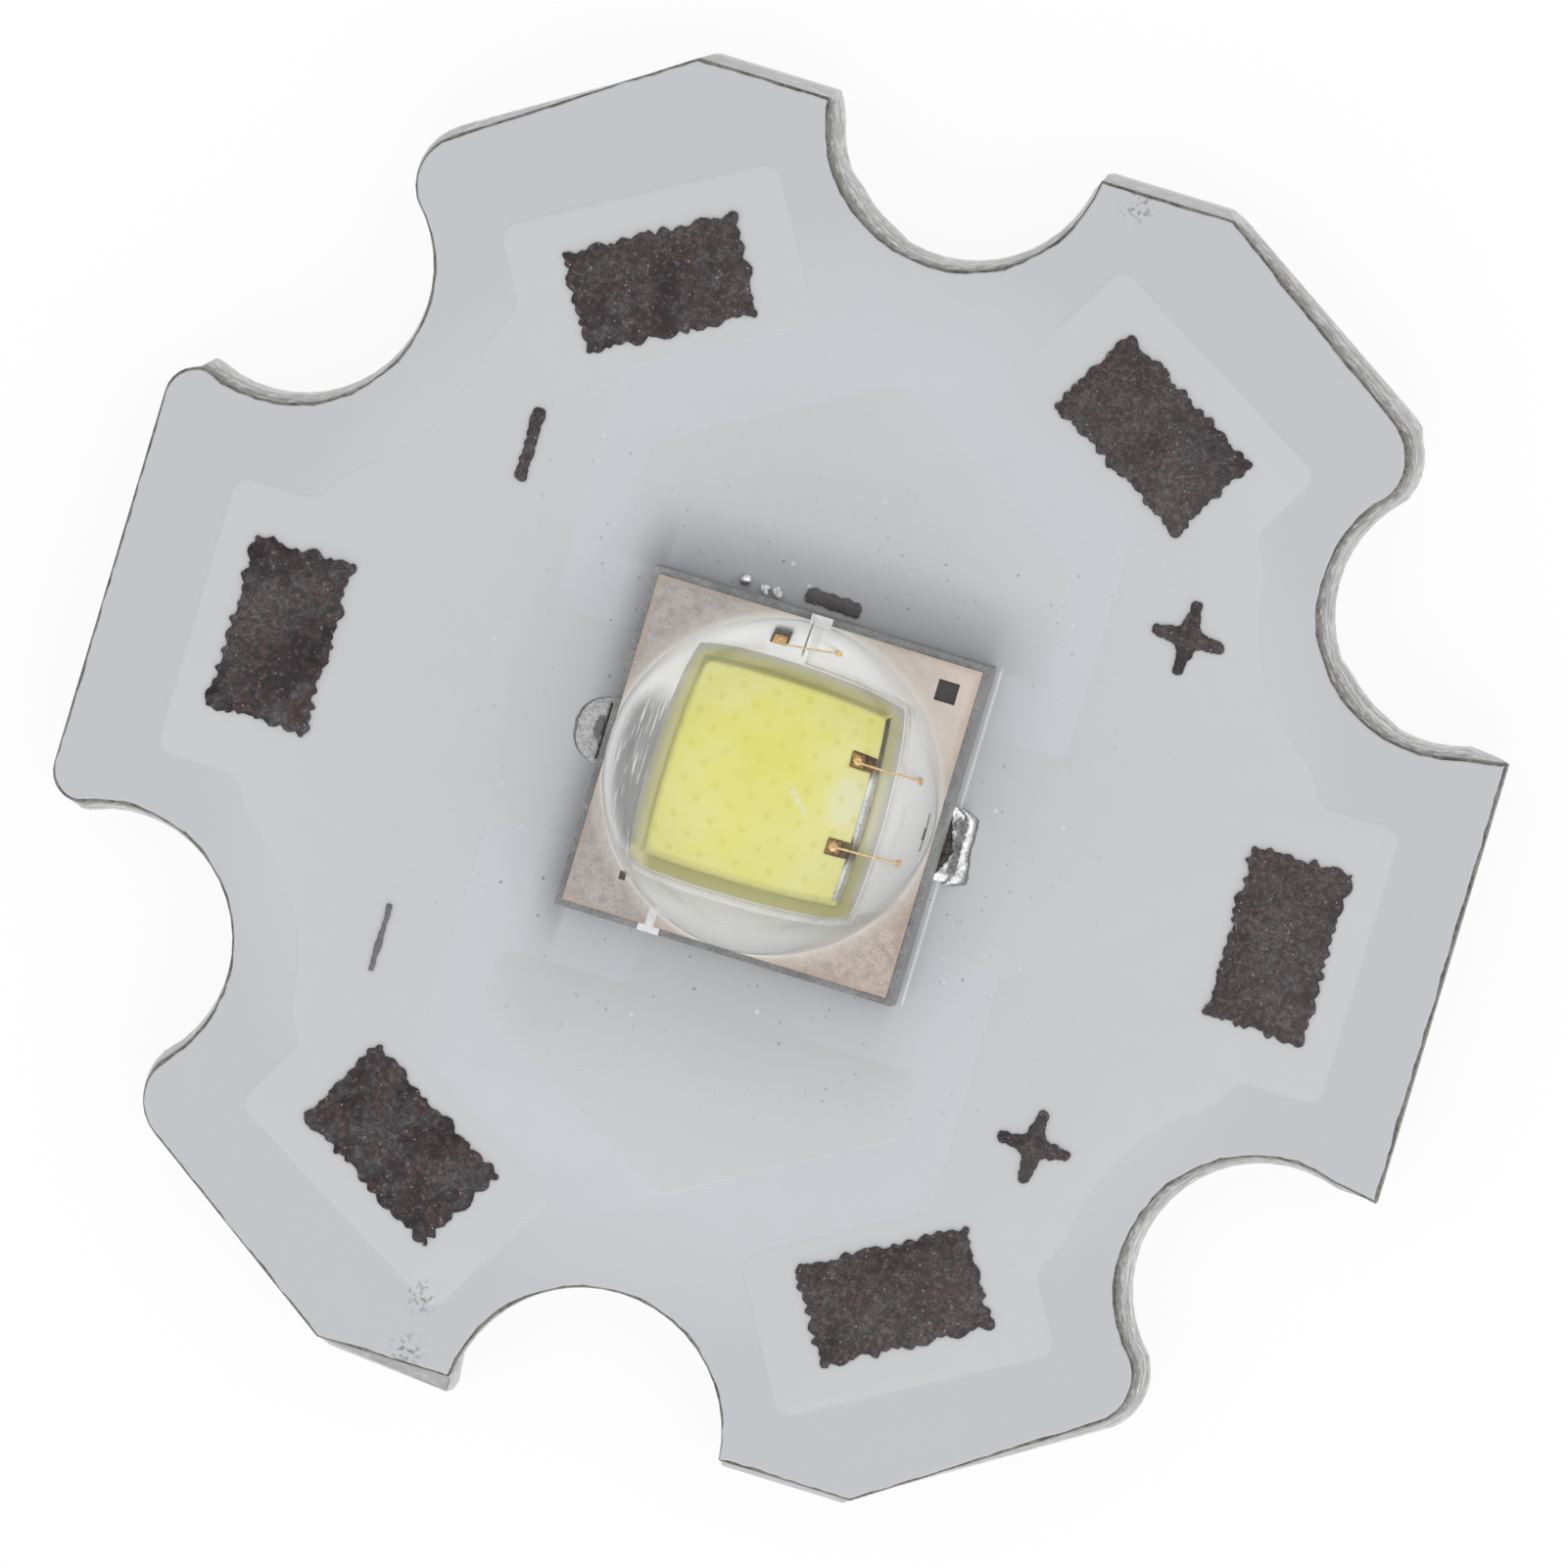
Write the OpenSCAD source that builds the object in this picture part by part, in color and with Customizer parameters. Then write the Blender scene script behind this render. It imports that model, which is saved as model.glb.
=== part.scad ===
// High-power light-emitting diode on a star-shaped metal-core board.
// The board lies on the XY plane with its middle at the origin, the lens points up along +Z,
// the anode side is at +X and the cathode side at -X. All sizes are in millimetres.

/* [Board outline] */
// Width between the two side flats
board_w = 20; // [19:0.1:22]
// Distance between the two snapped edges
board_d = 19.3; // [18.8:0.1:20]
// Distance from the centre to each slanted flat
slant_reach = 10.15; // [10:0.01:10.6]
// Direction that the slanted flats face, from the X axis
slant_angle = 55.7; // [55:0.1:60]
// Radius of the four side notches
notch_r = 1.98; // [1.6:0.02:2.2]
// Distance of the side notches from the centre
notch_reach = 10.06; // [9.8:0.02:10.4]
// Direction of the side notches, from the X axis
notch_angle = 30.1; // [29.5:0.1:31]
// Radius of the two end notches
end_notch_r = 2.04; // [1.6:0.02:2.3]
// Distance of the end notches from the centre
end_notch_reach = 9.72; // [9.5:0.01:10]
// Rounding where a slanted flat runs into a side notch
slant_corner_r = 0.75; // [0.3:0.05:0.9]
// Rounding at the two ends of the flat on the cathode side
flat_corner_r = 0.45; // [0.2:0.05:0.6]
// How far each end of the flat on the anode side is cut back from the notch beside it
flat_trim = 0.27; // [0.1:0.01:0.4]
// How far the flat on the anode side leans in towards the underside, where it broke from the next board
flat_lean = 0.26; // [0.1:0.02:0.4]
// Height of the upright land above that lean
flat_land = 0.2; // [0.1:0.02:0.5]

/* [Board layers] */
// Thickness of the aluminium core
core_t = 1.5; // [0.8:0.1:3]
// Depth of the score that the snapped edges broke along, on each face
score_depth = 0.4; // [0.2:0.05:0.6]
// How far the score slopes back from the snapped edge
score_slope = 0.1; // [0.05:0.01:0.2]
// Thickness of the insulating layer
dielectric_t = 0.1; // [0.06:0.01:0.2]
// Thickness of the copper
copper_t = 0.07; // [0.05:0.005:0.14]
// Thickness of the solder mask above the copper
mask_t = 0.05; // [0.04:0.005:0.08]
// How far the mask stops short of the board's edge
mask_inset = 0.06; // [0.03:0.01:0.2]
// How far the mask's raised part spreads past the copper that it covers
mask_spread = 0.06; // [0.04:0.01:0.12]
// How far the printed layers and the package lie from the middle of the board, along X
art_shift_x = 0.09; // [0:0.01:0.15]
// How far the printed layers and the package lie from the middle of the board, along Y
art_shift_y = -0.13; // [-0.15:0.01:0]

/* [Copper] */
// Distance from the centre line to the inner edge of each side trace
trace_inner = 3.9; // [3.7:0.05:4.2]
// Distance from the centre to the outer edge of each side trace, between its wire pads
trace_reach = 7.5; // [7:0.05:8]
// Gap between the copper and the notches
copper_setback = 0.95; // [0.6:0.05:1.1]
// How far the copper under a wire pad stays from the line of the board's side flats
pad_copper_gap = 1.3; // [1.1:0.02:1.4]
// Width of the copper under a wire pad, along the board's edge
pad_copper_w = 4.02; // [3.4:0.02:4.2]
// Depth of the copper under a wire pad, towards the centre
pad_copper_d = 2.3; // [2:0.05:2.6]
// Width of the tongue that runs from each side trace in under the package
tongue_w = 3.1; // [3:0.05:3.4]
// Half width of the two heat islands
island_reach = 3.12; // [2.8:0.01:3.3]
// Distance from the centre to the inner edge of each heat island
island_inner = 3.36; // [3.1:0.02:3.6]
// Distance from the centre to the shoulders of each heat island
island_shoulder = 4.2; // [3.9:0.05:4.5]
// Distance from the centre to the peak of each heat island
island_peak = 6.02; // [5.6:0.02:6.2]
// Width of the copper that joins the two heat islands under the package
neck_w = 2.4; // [2.3:0.05:2.6]

/* [Print] */
// Width of a wire pad, along the board's edge
wire_pad_w = 2.64; // [2:0.02:3]
// Depth of a wire pad, towards the centre
wire_pad_d = 1.58; // [1.2:0.02:1.8]
// How far the middle of each wire pad stays from the line of the board's side flats
wire_pad_inset = 2.58; // [2.4:0.01:2.7]
// How far the ink laps over the rim of the window in the mask
ink_lap = 0.15; // [0.1:0.01:0.25]
// Thickness of the ink above the mask
ink_t = 0.04; // [0.035:0.005:0.06]
// Spacing of the scallops that the printing screen leaves along the ink's edge
scallop_pitch = 0.2; // [0.16:0.01:0.4]
// Depth of those scallops
scallop_depth = 0.05; // [0.03:0.005:0.08]
// Length of the bars of the plus and minus marks
mark_l = 1.1; // [0.8:0.05:1.4]
// Width of those bars
mark_w = 0.2; // [0.1:0.01:0.3]
// Distance of the plus and minus marks from the centre line, along X
mark_x = 4.93; // [4.8:0.01:5.1]
// Distance of the plus and minus marks from the middle, along Y
mark_y = 3.74; // [3.3:0.02:4]
// Length of the short bar between the package and the heat island
tick_l = 0.83; // [0.5:0.01:1]
// Width of that bar
tick_w = 0.28; // [0.2:0.01:0.32]
// Gap between that bar and the package
tick_gap = 0.03; // [0.02:0.01:0.2]

/* [Package] */
// How far the package lies from its place on the printed layers, along Y
package_shift = 0.09; // [0:0.01:0.1]
// Side of the square ceramic
ceramic_w = 5.05; // [4.9:0.05:5.3]
// Thickness of the ceramic
ceramic_t = 0.65; // [0.4:0.05:1]
// Bare ceramic round the metal on its top
metal_margin = 0.1; // [0.06:0.01:0.15]
// Thickness of the metal on both faces of the ceramic
metal_t = 0.05; // [0.04:0.005:0.08]
// Thickness of the solder between the board and the package
solder_t = 0.08; // [0.05:0.005:0.12]
// Half width of the heat pad under the package
heat_pad_reach = 1.1; // [0.9:0.02:1.14]
// Bare ceramic between the ends of the heat pad and the package's sides
heat_pad_margin = 0.325; // [0.2:0.005:0.6]
// Distance from the centre line to the inner edge of each electrode pad
electrode_inner = 1.65; // [1.6:0.01:1.75]
// Bare ceramic between the outer edge of each electrode pad and the package's side
electrode_margin = 0.175; // [0.1:0.005:0.3]
// Half length of each electrode pad
electrode_l = 1.4; // [1.2:0.02:1.45]
// Room between a pad and the rim of its window in the mask
window_gap = 0.05; // [0.03:0.005:0.06]
// Radius of the solder that shows beside the package
fillet_r = 0.46; // [0.35:0.01:0.55]
// Place of that solder along the package's side
fillet_y = -0.1; // [-0.2:0.01:0.2]
// Radius of the plated holes through the ceramic
via_r = 0.1; // [0.06:0.01:0.14]
// Spacing of the plated holes
via_pitch = 0.7; // [0.5:0.05:0.8]
// Plated holes on each electrode
via_count = 3; // [2:1:4]
// Width of the insulating gap between the two electrodes on top
gap_w = 0.08; // [0.05:0.01:0.12]
// Place of the gap where it leaves the metal's upper edge
gap_upper_x = 0; // [-0.1:0.01:0.1]
// Place of the gap where it leaves the metal's lower edge
gap_lower_x = -1.12; // [-1.3:0.01:-0.9]
// Width of the white tab at each end of the gap
tab_w = 0.32; // [0.2:0.01:0.4]
// Side of the square polarity window in the top metal
polarity_w = 0.31; // [0.2:0.01:0.4]
// Distance of the polarity window's middle from both edges of the top metal
polarity_inset = 0.415; // [0.3:0.005:0.5]

/* [Chip and lens] */
// How far the chip, its wires and the protection diode lie from the middle of the package, along Y
chip_shift = 0.06; // [0:0.01:0.08]
// Side of the square chip
die_w = 2; // [1.6:0.05:2.1]
// Thickness of the chip
die_t = 0.15; // [0.1:0.01:0.25]
// Thickness of the bond under the chip
attach_t = 0.04; // [0.035:0.005:0.06]
// Thickness of the phosphor over the chip
phosphor_t = 0.045; // [0.04:0.005:0.08]
// How far the thin rim of phosphor spreads over the metal
phosphor_rim = 0.2; // [0.1:0.01:0.22]
// Distance of the two wire bonds on the chip from its right edge
bond_inset = 0.2; // [0.15:0.01:0.3]
// Half the distance between the two wire bonds
bond_reach = 0.46; // [0.3:0.01:0.6]
// Side of a gold bond pad
bond_pad_w = 0.14; // [0.12:0.01:0.18]
// Thickness of a gold bond pad
bond_pad_t = 0.04; // [0.035:0.005:0.06]
// Side of the notch in the phosphor round each bond pad
bond_notch_w = 0.24; // [0.2:0.01:0.3]
// Distance from the centre line to the far ends of the two chip wires
landing_x = 1.54; // [1.5:0.01:1.6]
// Radius of the gold wires
wire_r = 0.02; // [0.016:0.001:0.025]
// Height that a wire arches above the line between its ends
wire_rise = 0.12; // [0.08:0.01:0.2]
// Side of the square protection diode
diode_w = 0.2; // [0.18:0.01:0.26]
// Thickness of the protection diode
diode_t = 0.12; // [0.08:0.01:0.16]
// Distance of the protection diode from the gap, along X
diode_x = 0.36; // [0.3:0.01:0.5]
// Distance of the protection diode from the centre line, along Y
diode_y = 1.5; // [1.46:0.01:1.6]
// Bare metal between the lens and the middle of each side of the top metal
lens_margin = 0.005; // [0.005:0.005:0.15]
// Height of the straight foot under the lens's dome
lens_foot = 0.08; // [0.05:0.01:0.2]

/* [Hidden] */

$fn = 96;
corner_steps = 8;
// How far a corner's rounding runs into its notch, so that the two cross cleanly
corner_bite = 0.02;
// How far a cutting shape runs past what it cuts
past = 1;
cathode = -1;
anode = 1;
upper = 1;
lower = -1;

copper_z = core_t + dielectric_t;
land_z = copper_z + copper_t;
mask_z = land_z + mask_t;
package_pad_z = land_z + solder_t;
ceramic_z = package_pad_z + metal_t;
ceramic_top_z = ceramic_z + ceramic_t;
chip_floor_z = ceramic_top_z + metal_t;
die_z = chip_floor_z + attach_t;
die_top_z = die_z + die_t;
bond_z = die_top_z + bond_pad_t;
ball_r = wire_r * 2.2;
ball_t = wire_r * 2;
pad_copper_reach = board_w / 2 - pad_copper_gap;
wire_pad_reach = board_w / 2 - wire_pad_inset;
metal_w = ceramic_w - 2 * metal_margin;
heat_pad_l = ceramic_w / 2 - heat_pad_margin;
electrode_outer = ceramic_w / 2 - electrode_margin;
polarity_reach = metal_w / 2 - polarity_inset;
lens_r = metal_w / 2 - lens_margin;
gap_ring = die_w / 2 + phosphor_rim + gap_w / 2;
ring_top = chip_shift + gap_ring;
ring_bottom = chip_shift - gap_ring;
bond_x = die_w / 2 - bond_inset;

function heading(a) = [cos(a), sin(a)];

// Points of the rounding between a flat and a notch, from the flat to the notch.
// The flat faces direction a, and turn is 1 where the notch lies clockwise of it.
function rounded_corner(a, reach, notch, hole_r, r, turn) =
    let (
        out = heading(a),
        along = turn * [sin(a), -cos(a)],
        middle_out = reach - r,
        notch_out = notch * out,
        notch_along = notch * along,
        middle_along = notch_along - sqrt(pow(hole_r + r - corner_bite, 2) - pow(notch_out - middle_out, 2)),
        sweep = atan2(notch_along - middle_along, notch_out - middle_out)
    )
    [for (k = [0 : corner_steps])
        let (u = sweep * k / corner_steps)
        (middle_out + r * cos(u)) * out + (middle_along + r * sin(u)) * along];

function turned_round(list) = [for (k = [len(list) - 1 : -1 : 0]) list[k]];
function mirrored_x(list) = [for (p = list) [-p.x, p.y]];
function mirrored_y(list) = [for (p = list) [p.x, -p.y]];

// Point where a straight edge from p runs into a notch, almost along its side
function run_in(p, notch, hole_r) =
    let (
        way = notch - p,
        r = hole_r - corner_bite
    )
    p + sqrt(way * way - r * r) * heading(atan2(way.y, way.x) + asin(r / norm(way)));

// Upper end of the anode flat, cut back from where the notch would cross the flat
function flat_tip(notch, inset) =
    let (
        side = board_w / 2 - inset,
        drop = sqrt(max(0, pow(notch_r + inset, 2) - pow(side - notch.x, 2)))
    )
    [side, notch.y - drop - flat_trim];

// Points where a slanted flat meets a snapped edge, on the upper anode side
function snapped_corner(inset, back) =
    let (y = board_d / 2 - back)
    [[(slant_reach - inset - y * sin(slant_angle)) / cos(slant_angle), y]];

// The slanted flat of the upper anode quarter, from its notch to the snapped edge
function slant(inset, back) =
    concat(
        turned_round(rounded_corner(slant_angle, slant_reach - inset, notch_reach * heading(notch_angle),
                                    notch_r + inset, slant_corner_r - inset, 1)),
        snapped_corner(inset, back));

// The end of the cathode flat, from the flat to the upper notch
function flat_end(inset) =
    rounded_corner(180, board_w / 2 - inset, notch_reach * heading(180 - notch_angle),
                   notch_r + inset, flat_corner_r - inset, 1);

// The board's outline, moved in by inset, with the snapped edges a further step back
module board_outline(inset = 0, back = 0) {
    notch = notch_reach * heading(notch_angle);
    tip = flat_tip(notch, inset);
    upper_half = concat(
        [tip, run_in(tip, notch, notch_r + inset), notch],
        slant(inset, back),
        mirrored_x(turned_round(slant(inset, back))),
        [[-notch.x, notch.y]],
        turned_round(flat_end(inset)));
    difference() {
        polygon(concat(upper_half, mirrored_y(turned_round(upper_half))));
        for (a = [notch_angle, 180 - notch_angle, 180 + notch_angle, -notch_angle])
            rotate(a)
                translate([notch_reach, 0])
                    circle(r = notch_r + inset);
        for (a = [90, -90])
            rotate(a)
                translate([end_notch_reach, 0])
                    circle(r = end_notch_r + inset);
    }
}

module slab(z, t) {
    translate([0, 0, z])
        linear_extrude(t)
            children();
}

// Moves the printed layers and the package to their place on the board
module on_art() {
    translate([art_shift_x, art_shift_y, 0])
        children();
}

// Moves the package and its solder to their place on the printed layers
module on_package() {
    on_art()
        translate([0, package_shift, 0])
            children();
}

// Moves the chip and what is wired to it to their place in the package
module on_chip() {
    on_package()
        translate([0, chip_shift, 0])
            children();
}

module side_of(side) {
    mirror([side == cathode ? 1 : 0, 0, 0])
        children();
}

module centred_box(w, d, z, t) {
    translate([-w / 2, -d / 2, z])
        cube([w, d, t]);
}

// One side trace with its three wire pads, on the anode side
module trace_2d(grow = 0) {
    difference() {
        union() {
            intersection() {
                circle(r = (trace_reach + grow) / cos(30), $fn = 6);
                translate([trace_inner - grow, -board_d])
                    square([board_w, 2 * board_d]);
            }
            for (a = [-60, 0, 60])
                rotate(a)
                    translate([pad_copper_reach - pad_copper_d - grow, -pad_copper_w / 2 - grow])
                        square([pad_copper_d + 2 * grow, pad_copper_w + 2 * grow]);
            translate([electrode_inner - window_gap - grow, -tongue_w / 2 - grow])
                square([trace_inner - electrode_inner + window_gap + grow, tongue_w + 2 * grow]);
        }
        for (a = [notch_angle, -notch_angle])
            rotate(a)
                translate([notch_reach, 0])
                    circle(r = notch_r + copper_setback - grow);
    }
}

// The two heat islands and the neck that joins them
module thermal_2d(grow = 0) {
    slope = (island_peak - island_shoulder) / island_reach;
    rise = grow * sqrt(1 + slope * slope);
    island = [
        [-island_reach - grow, island_inner - grow],
        [island_reach + grow, island_inner - grow],
        [island_reach + grow, island_shoulder + rise - slope * grow],
        [0, island_peak + rise],
        [-island_reach - grow, island_shoulder + rise - slope * grow]
    ];
    polygon(island);
    polygon(mirrored_y(turned_round(island)));
    square([neck_w + 2 * grow, 2 * island_shoulder], center = true);
}

module electrode_2d(grow = 0) {
    translate([electrode_inner - grow, -electrode_l - grow])
        square([electrode_outer - electrode_inner + 2 * grow, 2 * (electrode_l + grow)]);
}

module heat_pad_2d(grow = 0) {
    square([2 * (heat_pad_reach + grow), 2 * (heat_pad_l + grow)], center = true);
}

// Window in the mask for an electrode and for the solder that shows beside the package
module electrode_window_2d() {
    electrode_2d(window_gap);
    translate([electrode_outer, fillet_y - fillet_r - window_gap])
        square([ceramic_w / 2 - electrode_outer, 2 * (fillet_r + window_gap)]);
    translate([ceramic_w / 2, fillet_y])
        circle(r = fillet_r + window_gap);
}

module at_wire_pads(side) {
    for (a = [-60, 0, 60])
        rotate(side == anode ? a : 180 + a)
            translate([wire_pad_reach, 0])
                children();
}

module wire_pad_window_2d() {
    square([wire_pad_d - 2 * ink_lap, wire_pad_w - 2 * ink_lap], center = true);
}

// One side of a scalloped outline, with the scallops to the right of the way from a to b
function scalloped_side(a, b) =
    let (
        run = b - a,
        count = max(1, round(norm(run) / scallop_pitch)),
        out = [run.y, -run.x] / norm(run) * scallop_depth
    )
    [for (k = [0 : count - 1], s = [[0, 0], [0.25, 1], [0.75, 1]]) a + run * (k + s[0]) / count + out * s[1]];

module scalloped_2d(w, d) {
    x = w / 2 - scallop_depth;
    y = d / 2 - scallop_depth;
    polygon(concat(
        scalloped_side([-x, -y], [x, -y]),
        scalloped_side([x, -y], [x, y]),
        scalloped_side([x, y], [-x, y]),
        scalloped_side([-x, y], [-x, -y])));
}

module wire_pads(side) {
    on_art()
        at_wire_pads(side) {
            slab(land_z, mask_t)
                wire_pad_window_2d();
            slab(mask_z, ink_t)
                scalloped_2d(wire_pad_d, wire_pad_w);
        }
}

module marks(side) {
    on_art()
        for (s = [upper, lower])
            translate([side * mark_x, s * mark_y])
                slab(mask_z, ink_t)
                    children();
}

// Slopes of the score along one snapped edge, seen from its end
module score_cut() {
    for (face = [0, 1])
        translate([0, 0, face * core_t])
            mirror([0, 0, face])
                polygon_along_x([[board_d / 2 - score_slope, 0], [board_d / 2, score_depth],
                                 [board_d / 2 + past, score_depth], [board_d / 2 + past, -past],
                                 [board_d / 2 - score_slope, -past]]);
}

// Wedge under the anode flat, seen from its end
module flat_cut() {
    land_z = core_t - flat_land;
    translate([0, board_d, 0])
        rotate([90, 0, 0])
            linear_extrude(2 * board_d)
                polygon([[board_w / 2 - flat_lean, 0], [board_w / 2, land_z], [board_w / 2 + past, land_z],
                         [board_w / 2 + past, -past], [board_w / 2 - flat_lean, -past]]);
}

// A bar along X with the given section in Y and Z
module polygon_along_x(points) {
    translate([-board_w, 0, 0])
        rotate([90, 0, 90])
            linear_extrude(2 * board_w)
                polygon(points);
}

module solder_joint(side) {
    on_package()
        side_of(side) {
            slab(land_z, solder_t)
                electrode_2d();
            translate([electrode_outer, fillet_y - fillet_r, land_z])
                cube([ceramic_w / 2 - electrode_outer, 2 * fillet_r, solder_t]);
            intersection() {
                translate([ceramic_w / 2, fillet_y, land_z])
                    sphere(r = fillet_r);
                translate([ceramic_w / 2, fillet_y - fillet_r - past, land_z])
                    cube([fillet_r + past, 2 * (fillet_r + past), fillet_r + past]);
            }
        }
}

module at_vias(side) {
    for (k = [0 : via_count - 1])
        translate([side * (electrode_inner + electrode_outer) / 2, (k - (via_count - 1) / 2) * via_pitch])
            children();
}

module vias(side) {
    on_package()
        at_vias(side)
            translate([0, 0, ceramic_z])
                cylinder(r = via_r, h = ceramic_t);
}

// Path of the gap between the two electrodes on top, from the upper edge round the chip to the lower edge
module gap_2d(end) {
    half = gap_w / 2;
    translate([gap_upper_x - half, ring_top - half])
        square([gap_w, end - ring_top + half]);
    translate([gap_upper_x - half, ring_top - half])
        square([gap_ring - gap_upper_x + gap_w, gap_w]);
    translate([gap_ring - half, ring_bottom - half])
        square([gap_w, ring_top - ring_bottom + gap_w]);
    translate([gap_lower_x - half, ring_bottom - half])
        square([gap_ring - gap_lower_x + gap_w, gap_w]);
    translate([gap_lower_x - half, -end])
        square([gap_w, end + ring_bottom + half]);
}

// The part of the top face that lies on the anode's side of the gap
module anode_side_2d() {
    reach = ceramic_w;
    polygon([
        [gap_upper_x, reach], [gap_upper_x, ring_top], [gap_ring, ring_top], [gap_ring, ring_bottom],
        [gap_lower_x, ring_bottom], [gap_lower_x, -reach], [reach, -reach], [reach, reach]
    ]);
}

module polarity_window_2d() {
    translate([polarity_reach, polarity_reach])
        square(polarity_w, center = true);
}

// A round wire that arches from a to b
module arched_wire(a, b, rise) {
    chord = b - a;
    span = norm(chord);
    bend_r = (span * span / 4 + rise * rise) / (2 * rise);
    half = asin(span / 2 / bend_r);
    translate(a)
        rotate([0, -asin(chord.z / span), atan2(chord.y, chord.x)])
            translate([span / 2, 0, rise - bend_r])
                rotate([90, 0, 0])
                    rotate(90 - half)
                        rotate_extrude(angle = 2 * half)
                            translate([bend_r, 0])
                                circle(r = wire_r, $fn = 24);
}

// A wire with a round bond at each end, from a spot on a gold pad to a spot on the metal
module bonded_wire(from, to) {
    half_bond = [0, 0, ball_t / 2];
    arched_wire(from + half_bond, to + half_bond, wire_rise);
    for (p = [from, to])
        translate(p)
            cylinder(r = ball_r, h = ball_t);
}

module board_core() {
    color("#b9bcbf")
        difference() {
            slab(0, core_t)
                board_outline();
            score_cut();
            mirror([0, 1, 0])
                score_cut();
            flat_cut();
        }
}

module board_dielectric() {
    color("#3d3833")
        slab(core_t, dielectric_t)
            board_outline(0, score_slope);
}

module copper_cathode() {
    color("#b87a4b")
        on_art()
            side_of(cathode)
                slab(copper_z, copper_t)
                    trace_2d();
}

module copper_anode() {
    color("#b87a4b")
        on_art()
            slab(copper_z, copper_t)
                trace_2d();
}

module copper_thermal() {
    color("#b87a4b")
        on_art()
            slab(copper_z, copper_t)
                thermal_2d();
}

module solder_mask() {
    color("#cdd0d3")
        difference() {
            union() {
                slab(copper_z, copper_t)
                    board_outline(mask_inset, score_slope);
                on_art() {
                    for (side = [cathode, anode])
                        side_of(side)
                            slab(copper_z, copper_t + mask_t)
                                trace_2d(mask_spread);
                    slab(copper_z, copper_t + mask_t)
                        thermal_2d(mask_spread);
                }
            }
            copper_cathode();
            copper_anode();
            copper_thermal();
            on_art()
                for (side = [cathode, anode])
                    at_wire_pads(side)
                        slab(copper_z, copper_t + mask_t + past)
                            wire_pad_window_2d();
            on_package() {
                for (side = [cathode, anode])
                    side_of(side)
                        slab(copper_z, copper_t + mask_t + past)
                            electrode_window_2d();
                slab(copper_z, copper_t + mask_t + past)
                    heat_pad_2d(window_gap);
            }
        }
}

module cathode_wire_pads() {
    color("#464244")
        wire_pads(cathode);
}

module anode_wire_pads() {
    color("#464244")
        wire_pads(anode);
}

module minus_marks() {
    color("#464244")
        marks(cathode)
            square([mark_w, mark_l], center = true);
}

module plus_marks() {
    color("#464244")
        marks(anode) {
            square([mark_w, mark_l], center = true);
            square([mark_l, mark_w], center = true);
        }
}

module centre_mark() {
    color("#464244")
        on_art()
            translate([0, package_shift + ceramic_w / 2 + tick_gap + tick_w / 2])
                slab(mask_z, ink_t)
                    square([tick_l, tick_w], center = true);
}

module solder_cathode() {
    color("#c4c6c8")
        solder_joint(cathode);
}

module solder_anode() {
    color("#c4c6c8")
        solder_joint(anode);
}

module solder_thermal() {
    color("#c4c6c8")
        on_package()
            slab(land_z, solder_t)
                heat_pad_2d();
}

module package_cathode_pad() {
    color("#d9b45a")
        on_package()
            side_of(cathode)
                slab(package_pad_z, metal_t)
                    electrode_2d();
}

module package_anode_pad() {
    color("#d9b45a")
        on_package()
            slab(package_pad_z, metal_t)
                electrode_2d();
}

module package_thermal_pad() {
    color("#d9b45a")
        on_package()
            slab(package_pad_z, metal_t)
                heat_pad_2d();
}

module ceramic_substrate() {
    color("#6f7072")
        on_package()
            difference() {
                centred_box(ceramic_w, ceramic_w, ceramic_z, ceramic_t);
                for (side = [cathode, anode])
                    at_vias(side)
                        translate([0, 0, ceramic_z - past])
                            cylinder(r = via_r, h = ceramic_t + 2 * past);
            }
}

module cathode_vias() {
    color("#b87a4b")
        vias(cathode);
}

module anode_vias() {
    color("#b87a4b")
        vias(anode);
}

module top_metal_cathode() {
    color("#a6968c")
        on_package()
            slab(ceramic_top_z, metal_t)
                difference() {
                    square(metal_w, center = true);
                    gap_2d(ceramic_w);
                    anode_side_2d();
                }
}

module top_metal_anode() {
    color("#a6968c")
        on_package()
            slab(ceramic_top_z, metal_t)
                difference() {
                    intersection() {
                        square(metal_w, center = true);
                        anode_side_2d();
                    }
                    gap_2d(ceramic_w);
                    polarity_window_2d();
                }
}

module gap_fill() {
    color("#d7d7d5")
        on_package()
            slab(ceramic_top_z, metal_t) {
                gap_2d(metal_w / 2);
                for (p = [[gap_upper_x, upper], [gap_lower_x, lower]])
                    translate([p[0], p[1] * (metal_w / 2 + metal_margin / 2)])
                        square([tab_w, metal_margin], center = true);
            }
}

module die_attach() {
    color("#8f9092")
        on_chip()
            centred_box(die_w, die_w, chip_floor_z, attach_t);
}

module led_die() {
    color("#9aa0a8")
        on_chip()
            centred_box(die_w, die_w, die_z, die_t);
}

module at_bonds() {
    for (s = [upper, lower])
        translate([bond_x, s * bond_reach])
            children();
}

module die_bond_pads() {
    color("#d9a441")
        on_chip()
            at_bonds()
                centred_box(bond_pad_w, bond_pad_w, die_top_z, bond_pad_t);
}

module phosphor_layer() {
    over = die_w + 2 * phosphor_t;
    rim = die_w + 2 * phosphor_rim;
    color("#dede78")
        on_chip()
            difference() {
                union() {
                    centred_box(over, over, chip_floor_z, attach_t + die_t + phosphor_t);
                    centred_box(rim, rim, chip_floor_z, attach_t);
                }
                centred_box(die_w, die_w, chip_floor_z - past, attach_t + die_t + past);
                at_bonds()
                    translate([-bond_notch_w / 2, -bond_notch_w / 2, die_top_z - past])
                        cube([bond_notch_w / 2 + bond_inset, bond_notch_w, phosphor_t + 2 * past]);
                translate([die_w / 2, -die_w, chip_floor_z + attach_t])
                    cube([past, 2 * die_w, die_t + phosphor_t + past]);
            }
}

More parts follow.
